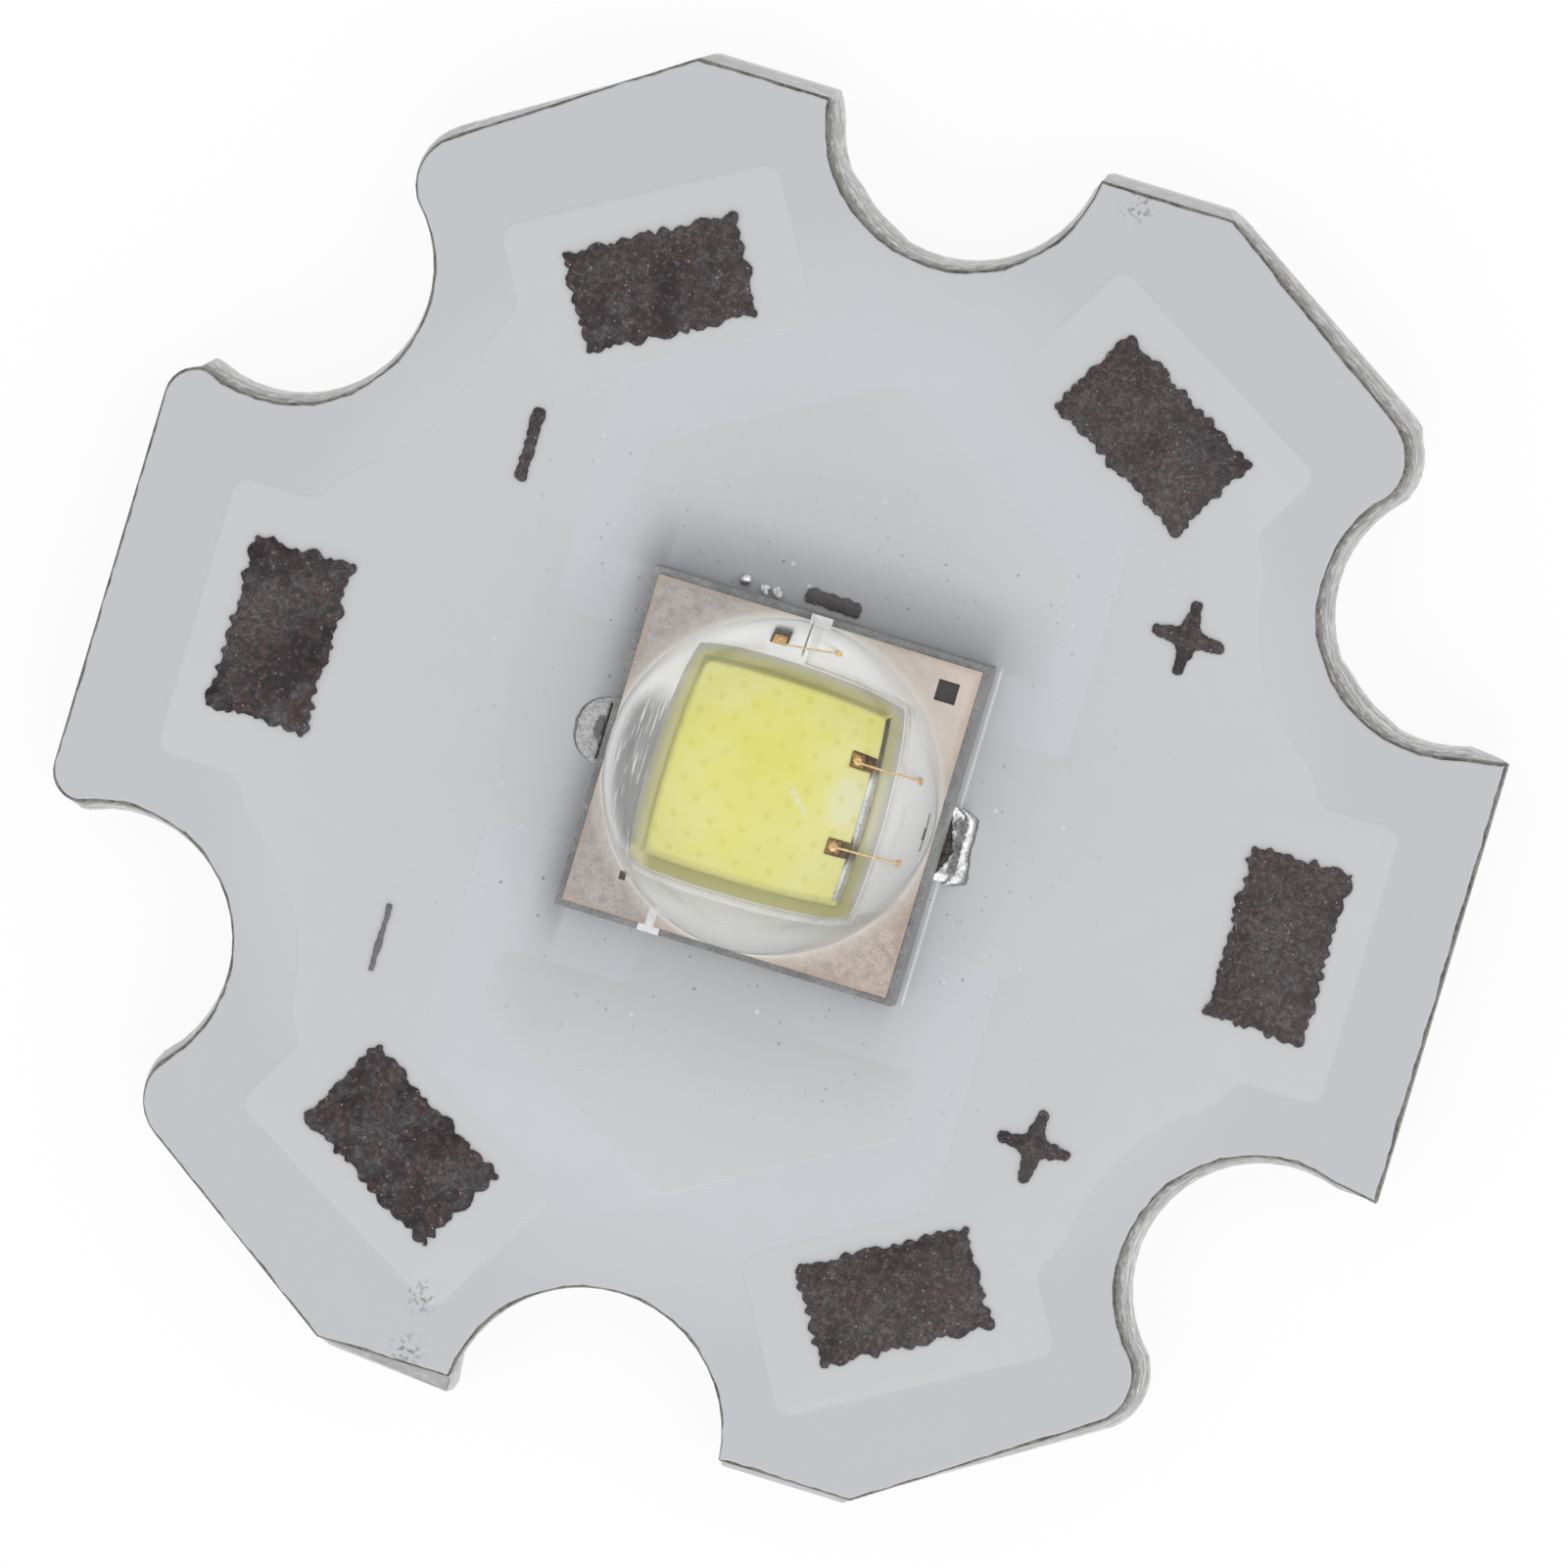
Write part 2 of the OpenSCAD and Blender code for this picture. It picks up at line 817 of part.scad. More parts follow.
module die_wires() {
    color("#d9a441")
        on_chip()
            for (s = [upper, lower])
                bonded_wire([bond_x, s * bond_reach, bond_z], [landing_x, s * bond_reach, chip_floor_z]);
}

module protection_diode() {
    color("#3a3634")
        on_chip()
            translate([gap_upper_x - diode_x, diode_y])
                centred_box(diode_w, diode_w, chip_floor_z, diode_t);
}

module diode_bond_pad() {
    color("#d9a441")
        on_chip()
            translate([gap_upper_x - diode_x, diode_y])
                centred_box(bond_pad_w, bond_pad_w, chip_floor_z + diode_t, bond_pad_t);
}

module diode_wire() {
    color("#d9a441")
        on_chip()
            bonded_wire([gap_upper_x - diode_x, diode_y, chip_floor_z + diode_t + bond_pad_t],
                        [gap_upper_x + diode_x - 2 * ball_r, diode_y, chip_floor_z]);
}

module silicone_lens() {
    color("#e8ebee", 0.4)
        difference() {
            on_package()
                translate([0, 0, chip_floor_z]) {
                    cylinder(r = lens_r, h = lens_foot);
                    translate([0, 0, lens_foot])
                        intersection() {
                            sphere(r = lens_r);
                            translate([-lens_r, -lens_r, 0])
                                cube(2 * lens_r);
                        }
                }
            die_attach();
            led_die();
            die_bond_pads();
            phosphor_layer();
            die_wires();
            protection_diode();
            diode_bond_pad();
            diode_wire();
        }
}

board_core();
board_dielectric();
copper_cathode();
copper_anode();
copper_thermal();
solder_mask();
cathode_wire_pads();
anode_wire_pads();
minus_marks();
plus_marks();
centre_mark();
solder_cathode();
solder_anode();
solder_thermal();
package_cathode_pad();
package_anode_pad();
package_thermal_pad();
ceramic_substrate();
cathode_vias();
anode_vias();
top_metal_cathode();
top_metal_anode();
gap_fill();
die_attach();
led_die();
die_bond_pads();
phosphor_layer();
die_wires();
protection_diode();
diode_bond_pad();
diode_wire();
silicone_lens();
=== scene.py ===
import math
import random

import bpy
from mathutils import Matrix, Vector, noise


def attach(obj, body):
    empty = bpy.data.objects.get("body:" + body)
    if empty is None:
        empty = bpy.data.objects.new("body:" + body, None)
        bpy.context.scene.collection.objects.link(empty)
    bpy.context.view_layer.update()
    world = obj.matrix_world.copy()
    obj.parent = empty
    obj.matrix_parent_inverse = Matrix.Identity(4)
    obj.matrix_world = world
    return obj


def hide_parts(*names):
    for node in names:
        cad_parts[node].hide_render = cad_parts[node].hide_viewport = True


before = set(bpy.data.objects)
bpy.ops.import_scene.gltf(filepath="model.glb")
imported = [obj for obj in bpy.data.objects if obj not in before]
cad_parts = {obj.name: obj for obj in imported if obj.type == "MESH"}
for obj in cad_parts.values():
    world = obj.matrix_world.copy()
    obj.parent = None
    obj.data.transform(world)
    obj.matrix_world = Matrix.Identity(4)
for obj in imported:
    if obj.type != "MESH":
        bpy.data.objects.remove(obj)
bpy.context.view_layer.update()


# Camera
# A long lens almost straight above the board, leaning a little towards its upper anode corner.
# The board is turned clockwise in the picture, which here is a turn of the camera.
MM = 0.001
camera_lean = math.radians(7.0)
camera_side = math.radians(30.5)
picture_turn = math.radians(16.946)
camera_reach = 600 * MM
aim = Vector((0.159, -0.015, 1.7)) * MM

back = Vector((
    math.sin(camera_lean) * math.cos(camera_side),
    math.sin(camera_lean) * math.sin(camera_side),
    math.cos(camera_lean)))
right = Vector((math.cos(picture_turn), math.sin(picture_turn), 0))
right = (right - right.dot(back) * back).normalized()
turn = Matrix((right, back.cross(right), back)).transposed()
bpy.ops.object.camera_add(location=aim + camera_reach * back, rotation=turn.to_euler())
camera = bpy.context.object
camera.data.lens = 965
camera.data.sensor_width = 36
camera.data.clip_start = 10 * MM
camera.data.clip_end = 5
bpy.context.scene.camera = camera
bpy.context.scene.view_settings.view_transform = "Standard"


# Star core
# The punched aluminium plate that carries the board and takes its heat to the heat sink.
# The notches and flats are sheared, and the two ends are snapped along a scored line.
def take_up(piece):
    """Makes a piece the only selected object."""
    bpy.ops.object.select_all(action="DESELECT")
    piece.select_set(True)
    bpy.context.view_layer.objects.active = piece


def opened(piece):
    """Opens a piece for editing with all of it selected."""
    take_up(piece)
    bpy.ops.object.mode_set(mode="EDIT")
    bpy.ops.mesh.select_all(action="SELECT")


def closed():
    """Ends the editing."""
    bpy.ops.object.mode_set(mode="OBJECT")


def smoothed(angle):
    """Shades the piece that is taken up smooth, apart from edges sharper than an angle."""
    bpy.ops.object.shade_smooth_by_angle(angle=math.radians(angle))


def copied(node, name):
    """A solid's mesh as a new piece, with its loose triangles merged into whole faces."""
    piece = bpy.data.objects.new(name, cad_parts[node].data.copy())
    bpy.context.scene.collection.objects.link(piece)
    piece.data.materials.clear()
    take_up(piece)
    bpy.ops.mesh.customdata_custom_splitnormals_clear()
    opened(piece)
    bpy.ops.mesh.remove_doubles(threshold=0.0005 * MM)
    bpy.ops.mesh.dissolve_limited(angle_limit=math.radians(1))
    closed()
    return piece


def chosen(piece, kind, test):
    """Opens a piece for editing with only the faces or edges selected that pass the test."""
    take_up(piece)
    bpy.ops.object.mode_set(mode="EDIT")
    bpy.ops.mesh.select_mode(type=kind)
    bpy.ops.mesh.select_all(action="DESELECT")
    closed()
    for item in piece.data.polygons if kind == "FACE" else piece.data.edges:
        item.select = bool(test(item))
    bpy.ops.object.mode_set(mode="EDIT")


def rounded(piece, width, segments=2, sharper_than=35, smooth_below=40):
    """Rounds the sharp edges of a piece and shades it smooth, with the broad faces kept flat."""
    take_up(piece)
    bpy.ops.object.modifier_add(type="BEVEL")
    bevel = piece.modifiers[-1]
    bevel.width = width * MM
    bevel.segments = segments
    bevel.limit_method = "ANGLE"
    bevel.angle_limit = math.radians(sharper_than)
    bpy.ops.object.modifier_apply(modifier=bevel.name)
    smoothed(smooth_below)
    bpy.ops.object.modifier_add(type="WEIGHTED_NORMAL")
    evened = piece.modifiers[-1]
    evened.keep_sharp = True
    bpy.ops.object.modifier_apply(modifier=evened.name)


def outward(piece):
    """The level way out of a piece at each point of its walls."""
    ways = {}
    for face in piece.data.polygons:
        if abs(face.normal.z) < 0.2:
            for k in face.vertices:
                ways[k] = ways.get(k, Vector()) + face.normal
    return {k: way.normalized() for k, way in ways.items()}


def joined(pieces, name):
    """Several pieces as one."""
    bpy.ops.object.select_all(action="DESELECT")
    for piece in pieces:
        piece.select_set(True)
    bpy.context.view_layer.objects.active = pieces[0]
    bpy.ops.object.join()
    pieces[0].name = pieces[0].data.name = name
    return pieces[0]


def colour(red, green, blue):
    """A colour as a picture gives it, 0 to 255, as the linear colour that a shader takes."""
    parts = [c / 255 for c in (red, green, blue)]
    return tuple(c / 12.92 if c < 0.04 else ((c + 0.055) / 1.055) ** 2.4 for c in parts) + (1,)


def add(tree, kind, inputs=None, **settings):
    """A new shader node with its settings, and its inputs set to values or linked."""
    made = tree.nodes.new("ShaderNode" + kind)
    for name, value in settings.items():
        setattr(made, name, value)
    for socket, value in (inputs or {}).items():
        if isinstance(value, bpy.types.NodeSocket):
            tree.links.new(value, made.inputs[socket])
        else:
            made.inputs[socket].default_value = value
    return made


def place(tree, stretch=(1, 1, 1), middle=(0, 0, 0)):
    """The place on the board in millimetres from a middle, stretched along the axes."""
    spot = add(tree, "TexCoord").outputs["Object"]
    scale = [s / MM for s in stretch]
    shift = [-m * s for m, s in zip(middle, stretch)]
    return add(tree, "Mapping", {"Vector": spot, "Location": shift, "Scale": scale}).outputs[0]


def grain(tree, scale, stretch=(1, 1, 1), detail=2.0):
    """Cloudy noise with so many lumps to the millimetre."""
    inputs = {"Vector": place(tree, stretch), "Scale": scale, "Detail": detail}
    return add(tree, "TexNoise", inputs).outputs[0]


def fade(tree, value, start, end, low=0.0, high=1.0):
    """Runs smoothly from low to high while a value goes from start to end."""
    inputs = {"Value": value, "From Min": start, "From Max": end, "To Min": low, "To Max": high}
    return add(tree, "MapRange", inputs, interpolation_type="SMOOTHSTEP").outputs[0]


def reckon(tree, operation, a, b=0.5):
    """Arithmetic on two values."""
    return add(tree, "Math", {0: a, 1: b}, operation=operation).outputs[0]


def times(tree, a, b):
    """Two values multiplied."""
    return reckon(tree, "MULTIPLY", a, b)


def axes(tree, vector):
    """The three parts of a vector."""
    return add(tree, "SeparateXYZ", {0: vector}).outputs


def widths(tree, vector):
    """The three parts of a vector without their signs."""
    return axes(tree, add(tree, "VectorMath", {0: vector}, operation="ABSOLUTE").outputs[0])


def length(tree, vector):
    """The length of a vector."""
    return add(tree, "VectorMath", {0: vector}, operation="LENGTH").outputs["Value"]


def distance(tree, middle=(0, 0, 0), stretch=(1, 1, 0)):
    """How far a place on the board is from a middle, seen from above."""
    return length(tree, place(tree, stretch, middle))


def blend(tree, amount, a, b):
    """One colour going over into another. Each is linked, or written as a picture gives it."""
    a, b = (colour(*end) if isinstance(end, tuple) else end for end in (a, b))
    return add(tree, "Mix", {0: amount, 6: a, 7: b}, data_type="RGBA").outputs[2]


def relief(tree, height, depth, strength):
    """The normal of a surface with relief of so many millimetres."""
    return add(tree, "Bump", {"Height": height, "Distance": depth * MM, "Strength": strength}).outputs[0]


def new_finish(name, **constants):
    """A material, its node tree and its shader, with the shader's constant sockets set."""
    finish = bpy.data.materials.new(name)
    finish.use_nodes = True
    shader = finish.node_tree.nodes["Principled BSDF"]
    for socket, value in constants.items():
        shader.inputs[socket.replace("_", " ")].default_value = value
    return finish, finish.node_tree, shader


def feed(tree, shader, **links):
    """Links node outputs to the shader's sockets."""
    for socket, value in links.items():
        tree.links.new(value, shader.inputs[socket.replace("_", " ")])


def new_effect(name, inputs, output):
    """A shader node group with named number inputs and one named value as its output."""
    group = bpy.data.node_groups.new(name, "ShaderNodeTree")
    for label, value in inputs.items():
        socket = group.interface.new_socket(label, in_out="INPUT", socket_type="NodeSocketFloat")
        socket.default_value = value
    group.interface.new_socket(output, in_out="OUTPUT", socket_type="NodeSocketFloat")
    taken = group.nodes.new("NodeGroupInput")
    given = group.nodes.new("NodeGroupOutput")
    return group, taken.outputs, given.inputs[0]


def effect(tree, group, **values):
    """An effect placed in a material with its own values."""
    made = tree.nodes.new("ShaderNodeGroup")
    made.node_tree = group
    for label, value in values.items():
        made.inputs[label].default_value = value
    return made.outputs[0]


# Mottle: broad clouds with finer lumps in them, as on any cast, printed or plated face
mottle, taken, given = new_effect("mottle", {"Lumps": 1.0, "Fineness": 6.0, "Share": 0.4}, "Tone")
lumps = times(mottle, taken["Lumps"], 1 / MM)
finer = times(mottle, lumps, taken["Fineness"])
spot = add(mottle, "TexCoord").outputs["Object"]
broad = add(mottle, "TexNoise", {"Vector": spot, "Scale": lumps, "Detail": 3.0}).outputs[0]
fine = add(mottle, "TexNoise", {"Vector": spot, "Scale": finer, "Detail": 2.0}).outputs[0]
mixed = add(mottle, "Mix", {0: taken["Share"], 2: broad, 3: fine}, data_type="FLOAT").outputs[0]
mottle.links.new(mixed, given)

# Specks: small round spots strewn at random
specks, taken, given = new_effect("specks", {"Cells": 4.0, "Size": 0.2, "Share": 0.3}, "Mask")
cells = times(specks, taken["Cells"], 1 / MM)
spot = add(specks, "TexCoord").outputs["Object"]
cell = add(specks, "TexVoronoi", {"Vector": spot, "Scale": cells})
chance = add(specks, "SeparateColor", {0: cell.outputs["Color"]}).outputs[0]
kept = reckon(specks, "LESS_THAN", chance, taken["Share"])
near = add(specks, "MapRange", {"Value": cell.outputs["Distance"], "From Min": taken["Size"],
                                "From Max": 0.0}, interpolation_type="SMOOTHSTEP").outputs[0]
specks.links.new(times(specks, kept, near), given)


def clouded(name, clouds, dark, light, rough, bumps, tones=(0.35, 0.65), **constants):
    """A material in two tones that run over into each other in clouds, with roughness and relief to match."""
    finish, tree, shader = new_finish(name, **constants)
    lumps, fineness, share = clouds
    cloud = effect(tree, mottle, Lumps=lumps, Fineness=fineness, Share=share)
    feed(tree, shader,
         Base_Color=blend(tree, fade(tree, cloud, *tones), dark, light),
         Roughness=fade(tree, cloud, *rough),
         Normal=relief(tree, cloud, *bumps))
    return finish


def dressed(node, finish):
    """Gives a solid of the frame its material."""
    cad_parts[node].data.materials.clear()
    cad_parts[node].data.materials.append(finish)


def faced_out(piece):
    """Turns the faces of a piece outward."""
    opened(piece)
    bpy.ops.mesh.normals_make_consistent(inside=False)
    closed()


core = copied("board_core", "star_core")
flare, flare_change, slant_flare, foot_z = 0.14, 0.07, 0.13, 0.1
end_flare, end_change, end_x, end_y = 0.03, 0.16, 3, -7
burr, burr_z, burr_from, burr_to = 0.15, 1.2, -2.4, -1.5
flat_x, scored_y, burr_y = 9.7, 9.5, -9.4
slant_turn, shear_turn = math.radians(55.7), math.radians(30)
slant_way = Vector((math.cos(slant_turn), math.sin(slant_turn), 0))
shear_way = Vector((math.cos(shear_turn), math.sin(shear_turn), 0))
for k, way in outward(core).items():
    point = core.data.vertices[k]
    x, y, z = point.co / MM
    if z < foot_z and abs(x) < flat_x and abs(y) < scored_y:
        spread = flare - flare_change * way.dot(shear_way)
        if y < end_y and abs(x) < end_x:
            spread = end_flare - end_change * way.dot(shear_way)
        point.co += way * (slant_flare if way.dot(slant_way) > 0.97 else spread) * MM
    if z < burr_z and burr_from < x < burr_to and y < burr_y:
        point.co.y -= burr * MM
rounded(core, 0.05, segments=3)

core_finish, tree, shader = new_finish("sheared_aluminium", Metallic=1.0)
facing = axes(tree, add(tree, "NewGeometry").outputs["Normal"])[2]
flat = fade(tree, reckon(tree, "ABSOLUTE", facing), 0.5, 0.9)
bands = grain(tree, 3.2, (0.35, 0.35, 2.4), 4)
rolled = grain(tree, 8, (0.05, 1, 1), 3)
lines = add(tree, "Mix", {0: flat, 2: bands, 3: rolled}, data_type="FLOAT").outputs[0]
where = axes(tree, place(tree))
torn = grain(tree, 7, (1, 1, 0.2), 4)
ragged = reckon(tree, "ADD", where[2], times(tree, reckon(tree, "SUBTRACT", torn, 0.5), 1.2))
flecks_and_glints = grain(tree, 10, (0.6, 0.6, 1.5), 3)
silver = blend(tree, fade(tree, lines, 0.38, 0.62), (138, 137, 136), (208, 208, 208))
wall = blend(tree, fade(tree, ragged, 0.85, 1.35, 0.0, 0.75), silver, (92, 89, 84))
wall = blend(tree, fade(tree, ragged, 0.45, 0.05, 0.0, 0.5), wall, (224, 224, 224))
# The dark flecks are specks in the sheared metal; the white flecks are painted glints.
wall = blend(tree, fade(tree, flecks_and_glints, 0.44, 0.36, 0.0, 0.35), wall, (104, 101, 98))
wall = blend(tree, fade(tree, flecks_and_glints, 0.56, 0.64, 0.0, 0.6), wall, (246, 246, 246))
silver = blend(tree, flat, wall, silver)
snapped = fade(tree, reckon(tree, "ABSOLUTE", where[1]), 9.48, 9.55, 0.0, 0.75)
silver = blend(tree, snapped, silver, (206, 206, 206))
feed(tree, shader,
     Base_Color=silver,
     Roughness=fade(tree, lines, 0.3, 0.7, 0.34, 0.55),
     Normal=relief(tree, lines, 0.04, 0.5))
core.data.materials.append(core_finish)
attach(core, "root")
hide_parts("board_core")


# Dielectric
# The thin filled resin that insulates the copper from the aluminium, pressed on as a sheet.
# Its cut edge shows as a thin grey-brown line all round the board.
dielectric_finish = clouded(
    "filled_resin", clouds=(3.0, 5.0, 0.5), dark=(88, 85, 80), light=(146, 142, 136),
    rough=(0.3, 0.7, 0.5, 0.75), bumps=(0.02, 0.6), Specular_IOR_Level=0.3)
dressed("board_dielectric", dielectric_finish)


# Copper
# The etched copper foil of the two side traces and the heat islands, and the plated holes in the ceramic.
# It is hidden by the mask and the package.
copper_finish = clouded(
    "etched_copper", clouds=(1.5, 12.0, 0.4), dark=(190, 118, 84), light=(228, 160, 120),
    rough=(0.3, 0.7, 0.3, 0.5), bumps=(0.004, 0.5), Metallic=1.0)
for name in ("copper_cathode", "copper_anode", "copper_thermal", "cathode_vias", "anode_vias"):
    dressed(name, copper_finish)


# Solder mask
# The pale grey lacquer printed over the copper and the dielectric and cured.
# It stands a little higher where copper lies under it, with soft steps, and stops just short of the edge.
under_z, low_z, high_z = 1.598, 1.674, 1.685
dielectric_mid, copper_mid = 1.55, 1.63
edge_gap, edge_wander, edge_step = 0.035, 0.024, 0.16
field_spread, corner_r, slope_w = 0.06, 0.2, 0.07
PACKAGE = Vector((0.09, -0.04, 0))
package_half = 2.525

mask = copied("board_dielectric", "mask_coat")
for step in range(6):
    points = mask.data.vertices
    ends = [[points[k].co for k in edge.vertices] for edge in mask.data.edges]
    runs = [start - end for start, end in ends]
    chosen(mask, "EDGE", lambda edge: abs(runs[edge.index].z) < 0.001 * MM
           and runs[edge.index].length > edge_step * MM)
    bpy.ops.mesh.subdivide(number_cuts=1, ngon=True)
    closed()
for k, way in outward(mask).items():
    point = mask.data.vertices[k]
    spot = Vector((point.co.x, point.co.y, 0)) / MM
    wander = noise.noise(spot * 1.7) + 0.8 * noise.noise(spot * 6)
    spot -= way * (edge_gap + wander * edge_wander)
    point.co = Vector((spot.x, spot.y, low_z if point.co.z > dielectric_mid * MM else under_z)) * MM
rounded(mask, 0.028, segments=3)

fields = []
for node in ("copper_cathode", "copper_anode", "copper_thermal"):
    field = copied(node, node + "_field")
    walls = {}
    for face in field.data.polygons:
        if abs(face.normal.z) < 0.1:
            for key in face.edge_keys:
                walls.setdefault(key, []).append(face.normal.copy())
    chosen(field, "EDGE", lambda edge: len(walls.get(edge.key, ())) == 2
           and walls[edge.key][0].angle(walls[edge.key][1]) > math.radians(25))
    bpy.ops.mesh.bevel(offset=corner_r * MM, segments=5, affect="EDGES", clamp_overlap=True)
    closed()
    for k, way in outward(field).items():
        point = field.data.vertices[k]
        spot = point.co / MM + way * field_spread
        point.co = Vector((spot.x, spot.y, high_z if spot.z > copper_mid else low_z - 0.01)) * MM
    chosen(field, "FACE", lambda face: face.normal.z > 0.9)
    bpy.ops.mesh.inset(thickness=slope_w * MM)
    closed()
    for point in field.data.vertices:
        if point.co.z > low_z * MM and not point.select:
            point.co.z = (low_z + 0.001) * MM
    smoothed(12)
    fields.append(field)
mask = joined([mask] + fields, "mask_coat")

mask_finish, tree, shader = new_finish("grey_lacquer", Specular_IOR_Level=0.3)
height = axes(tree, place(tree))[2]
over_copper = fade(tree, height, low_z + 0.002, high_z - 0.002)
cloud = effect(tree, mottle, Lumps=0.35, Fineness=8.0, Share=0.3)
peel = effect(tree, mottle, Lumps=9.0, Fineness=3.0, Share=0.5)
reach = distance(tree)
thin = blend(tree, fade(tree, reach, 6.0, 8.5), (198, 199, 204), (189, 190, 194))
lacquer = blend(tree, over_copper, thin, (196, 197, 198))
lacquer = blend(tree, fade(tree, cloud, 0.35, 0.65, 0.0, 0.15), lacquer, (187, 188, 190))
by_package = place(tree, (1, 1, 0), PACKAGE)
sides = widths(tree, by_package)
away = reckon(tree, "SUBTRACT", reckon(tree, "MAXIMUM", sides[0], sides[1]), package_half)
along = axes(tree, by_package)
# Painted shade on the lacquer beside the package, strongest on its upper and left sides and faint below it,
# and a faint painted light on its right side.
painted_shade_tint, painted_lit_tint = (96, 97, 99), (232, 233, 236)
for axis, way, far, near, share, tint in (
        (1, 1, 1.2, 0.3, 0.28, painted_shade_tint), (0, -1, 0.55, -0.05, 0.45, painted_shade_tint),
        (1, -1, 3.2, 0.4, 0.11, painted_shade_tint), (0, 1, 0.6, 0.0, 0.08, painted_lit_tint)):
    out = reckon(tree, "SUBTRACT", times(tree, along[axis], way), package_half)
    beside = times(tree, fade(tree, out, -0.15, 0.0), fade(tree, sides[1 - axis], 3.5, 2.2))
    amount = times(tree, fade(tree, out, far, near, 0.0, share), beside)
    lacquer = blend(tree, amount, lacquer, tint)
# A painted highlight: a thin bright line on the lacquer just beyond the package's right side, with no
# meniscus modelled there.
beside = reckon(tree, "ABSOLUTE", reckon(tree, "SUBTRACT", along[0], package_half + 0.07))
painted_foot_highlight = times(tree, fade(tree, beside, 0.03, 0.01), fade(tree, sides[1], 2.56, 2.4))
lacquer = blend(tree, times(tree, painted_foot_highlight, 0.7), lacquer, (246, 246, 246))
dirty = fade(tree, away, 3.0, 0.1, 0.04, 0.85)
for cells, size, share in ((3.6, 0.13, 0.4), (6.5, 0.16, 0.3)):
    dust = times(tree, effect(tree, specks, Cells=cells, Size=size, Share=share), dirty)
    lacquer = blend(tree, dust, lacquer, (94, 92, 91))
crumbs = times(tree, effect(tree, specks, Cells=2.9, Size=0.14, Share=0.22), dirty)
lacquer = blend(tree, crumbs, lacquer, (232, 232, 232))
scuffed = grain(tree, 13, detail=4)
for x, y in ((-2.73, -8.56), (-2.70, -9.36), (2.64, 9.33)):
    near = distance(tree, (x, y, 0))
    smudge = times(tree, fade(tree, near, 0.34, 0.05), fade(tree, scuffed, 0.5, 0.62, 0.0, 0.75))
    lacquer = blend(tree, smudge, lacquer, (112, 112, 112))
feed(tree, shader,
     Base_Color=lacquer,
     Roughness=fade(tree, cloud, 0.3, 0.7, 0.38, 0.52),
     Normal=relief(tree, peel, 0.005, 0.45))
mask.data.materials.append(mask_finish)
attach(mask, "root")
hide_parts("solder_mask")


# Wire pads
# Three dark pads on each side, where the supply wires are soldered.
# The ink was laid down as rows of overlapping dots, so the edges are scalloped and the face is granular.
ART = Vector((0.09, -0.13, 0))
pad_depth, pad_width, pad_reach = 1.5, 2.56, 7.42
pad_shifts = {0: (0.098, -0.022), 60: (0.004, -0.009), 120: (0.028, 0.015),
              180: (-0.069, 0.039), 240: (-0.024, -0.009), 300: (-0.021, -0.01)}
ink_bottom, ink_top, ink_round = 1.671, 1.73, 0.014


def dotted_outline(corners, dot, pitch, draws, shrink=0.0, step=0.02, corner=0.03):
    """Points round a shape whose edge is a row of overlapping blots. The blots come from the seeded draws."""
    rows, tips = [], []
    count = len(corners)
    spots = [Vector(spot) for spot in corners]
    corner = min([corner] + [0.45 * (spots[k] - spots[k - 1]).length for k in range(count)])
    for k in range(count):
        before, here, after = (spots[(k + j) % count] for j in (-1, 0, 1))
        way_in, way_out = (here - before).normalized(), (after - here).normalized()
        out_in, out_out = (Vector((w.y, -w.x)) for w in (way_in, way_out))
        bends_in = way_in.cross(way_out) < 0
        if not bends_in:
            tips.append(len(rows) + 2)
        for j in range(5):
            u = j / 4
            spot = (here - way_in * corner) * (1 - u) ** 2 + here * 2 * u * (1 - u)
            spot += (here + way_out * corner) * u * u
            rows.append((spot, out_in.lerp(out_out, u).normalized(), 0.25 if bends_in else 1.0))
        run = (after - here).length - 2 * corner
        steps = max(1, round(run / step))
        for j in range(1, steps):
            rows.append((here + way_out * (corner + run * j / steps), out_out, 1.0))
    lengths = [0.0]
    for a, b in zip(rows, rows[1:] + rows[:1]):
        lengths.append(lengths[-1] + max((b[0] - a[0]).length, 0.01))
    whole = lengths.pop()
    generator = random.Random(draws)
    dots, at = [], 0.0
    while at < whole:
        dots.append((at, pitch * generator.uniform(0.35, 1.0), dot * generator.uniform(-0.5, 0.7)))
        at += pitch * generator.uniform(0.4, 1.5)
    for tip in tips:
        dots.append((lengths[tip], pitch * generator.uniform(0.8, 1.2), dot * generator.uniform(-0.5, 0.5)))
    points = []
    for (spot, way, share), at in zip(rows, lengths):
        out = -0.7 * dot
        for centre, half, rise in dots:
            gap = abs((at - centre + whole / 2) % whole - whole / 2)
            out = max(out, rise - dot * (gap / half) ** 1.7)
        ragged = 0.18 * dot * noise.noise(Vector((at * 23, draws, 0)))
        points.append(spot + way * ((out + ragged) * share - shrink))
    return points


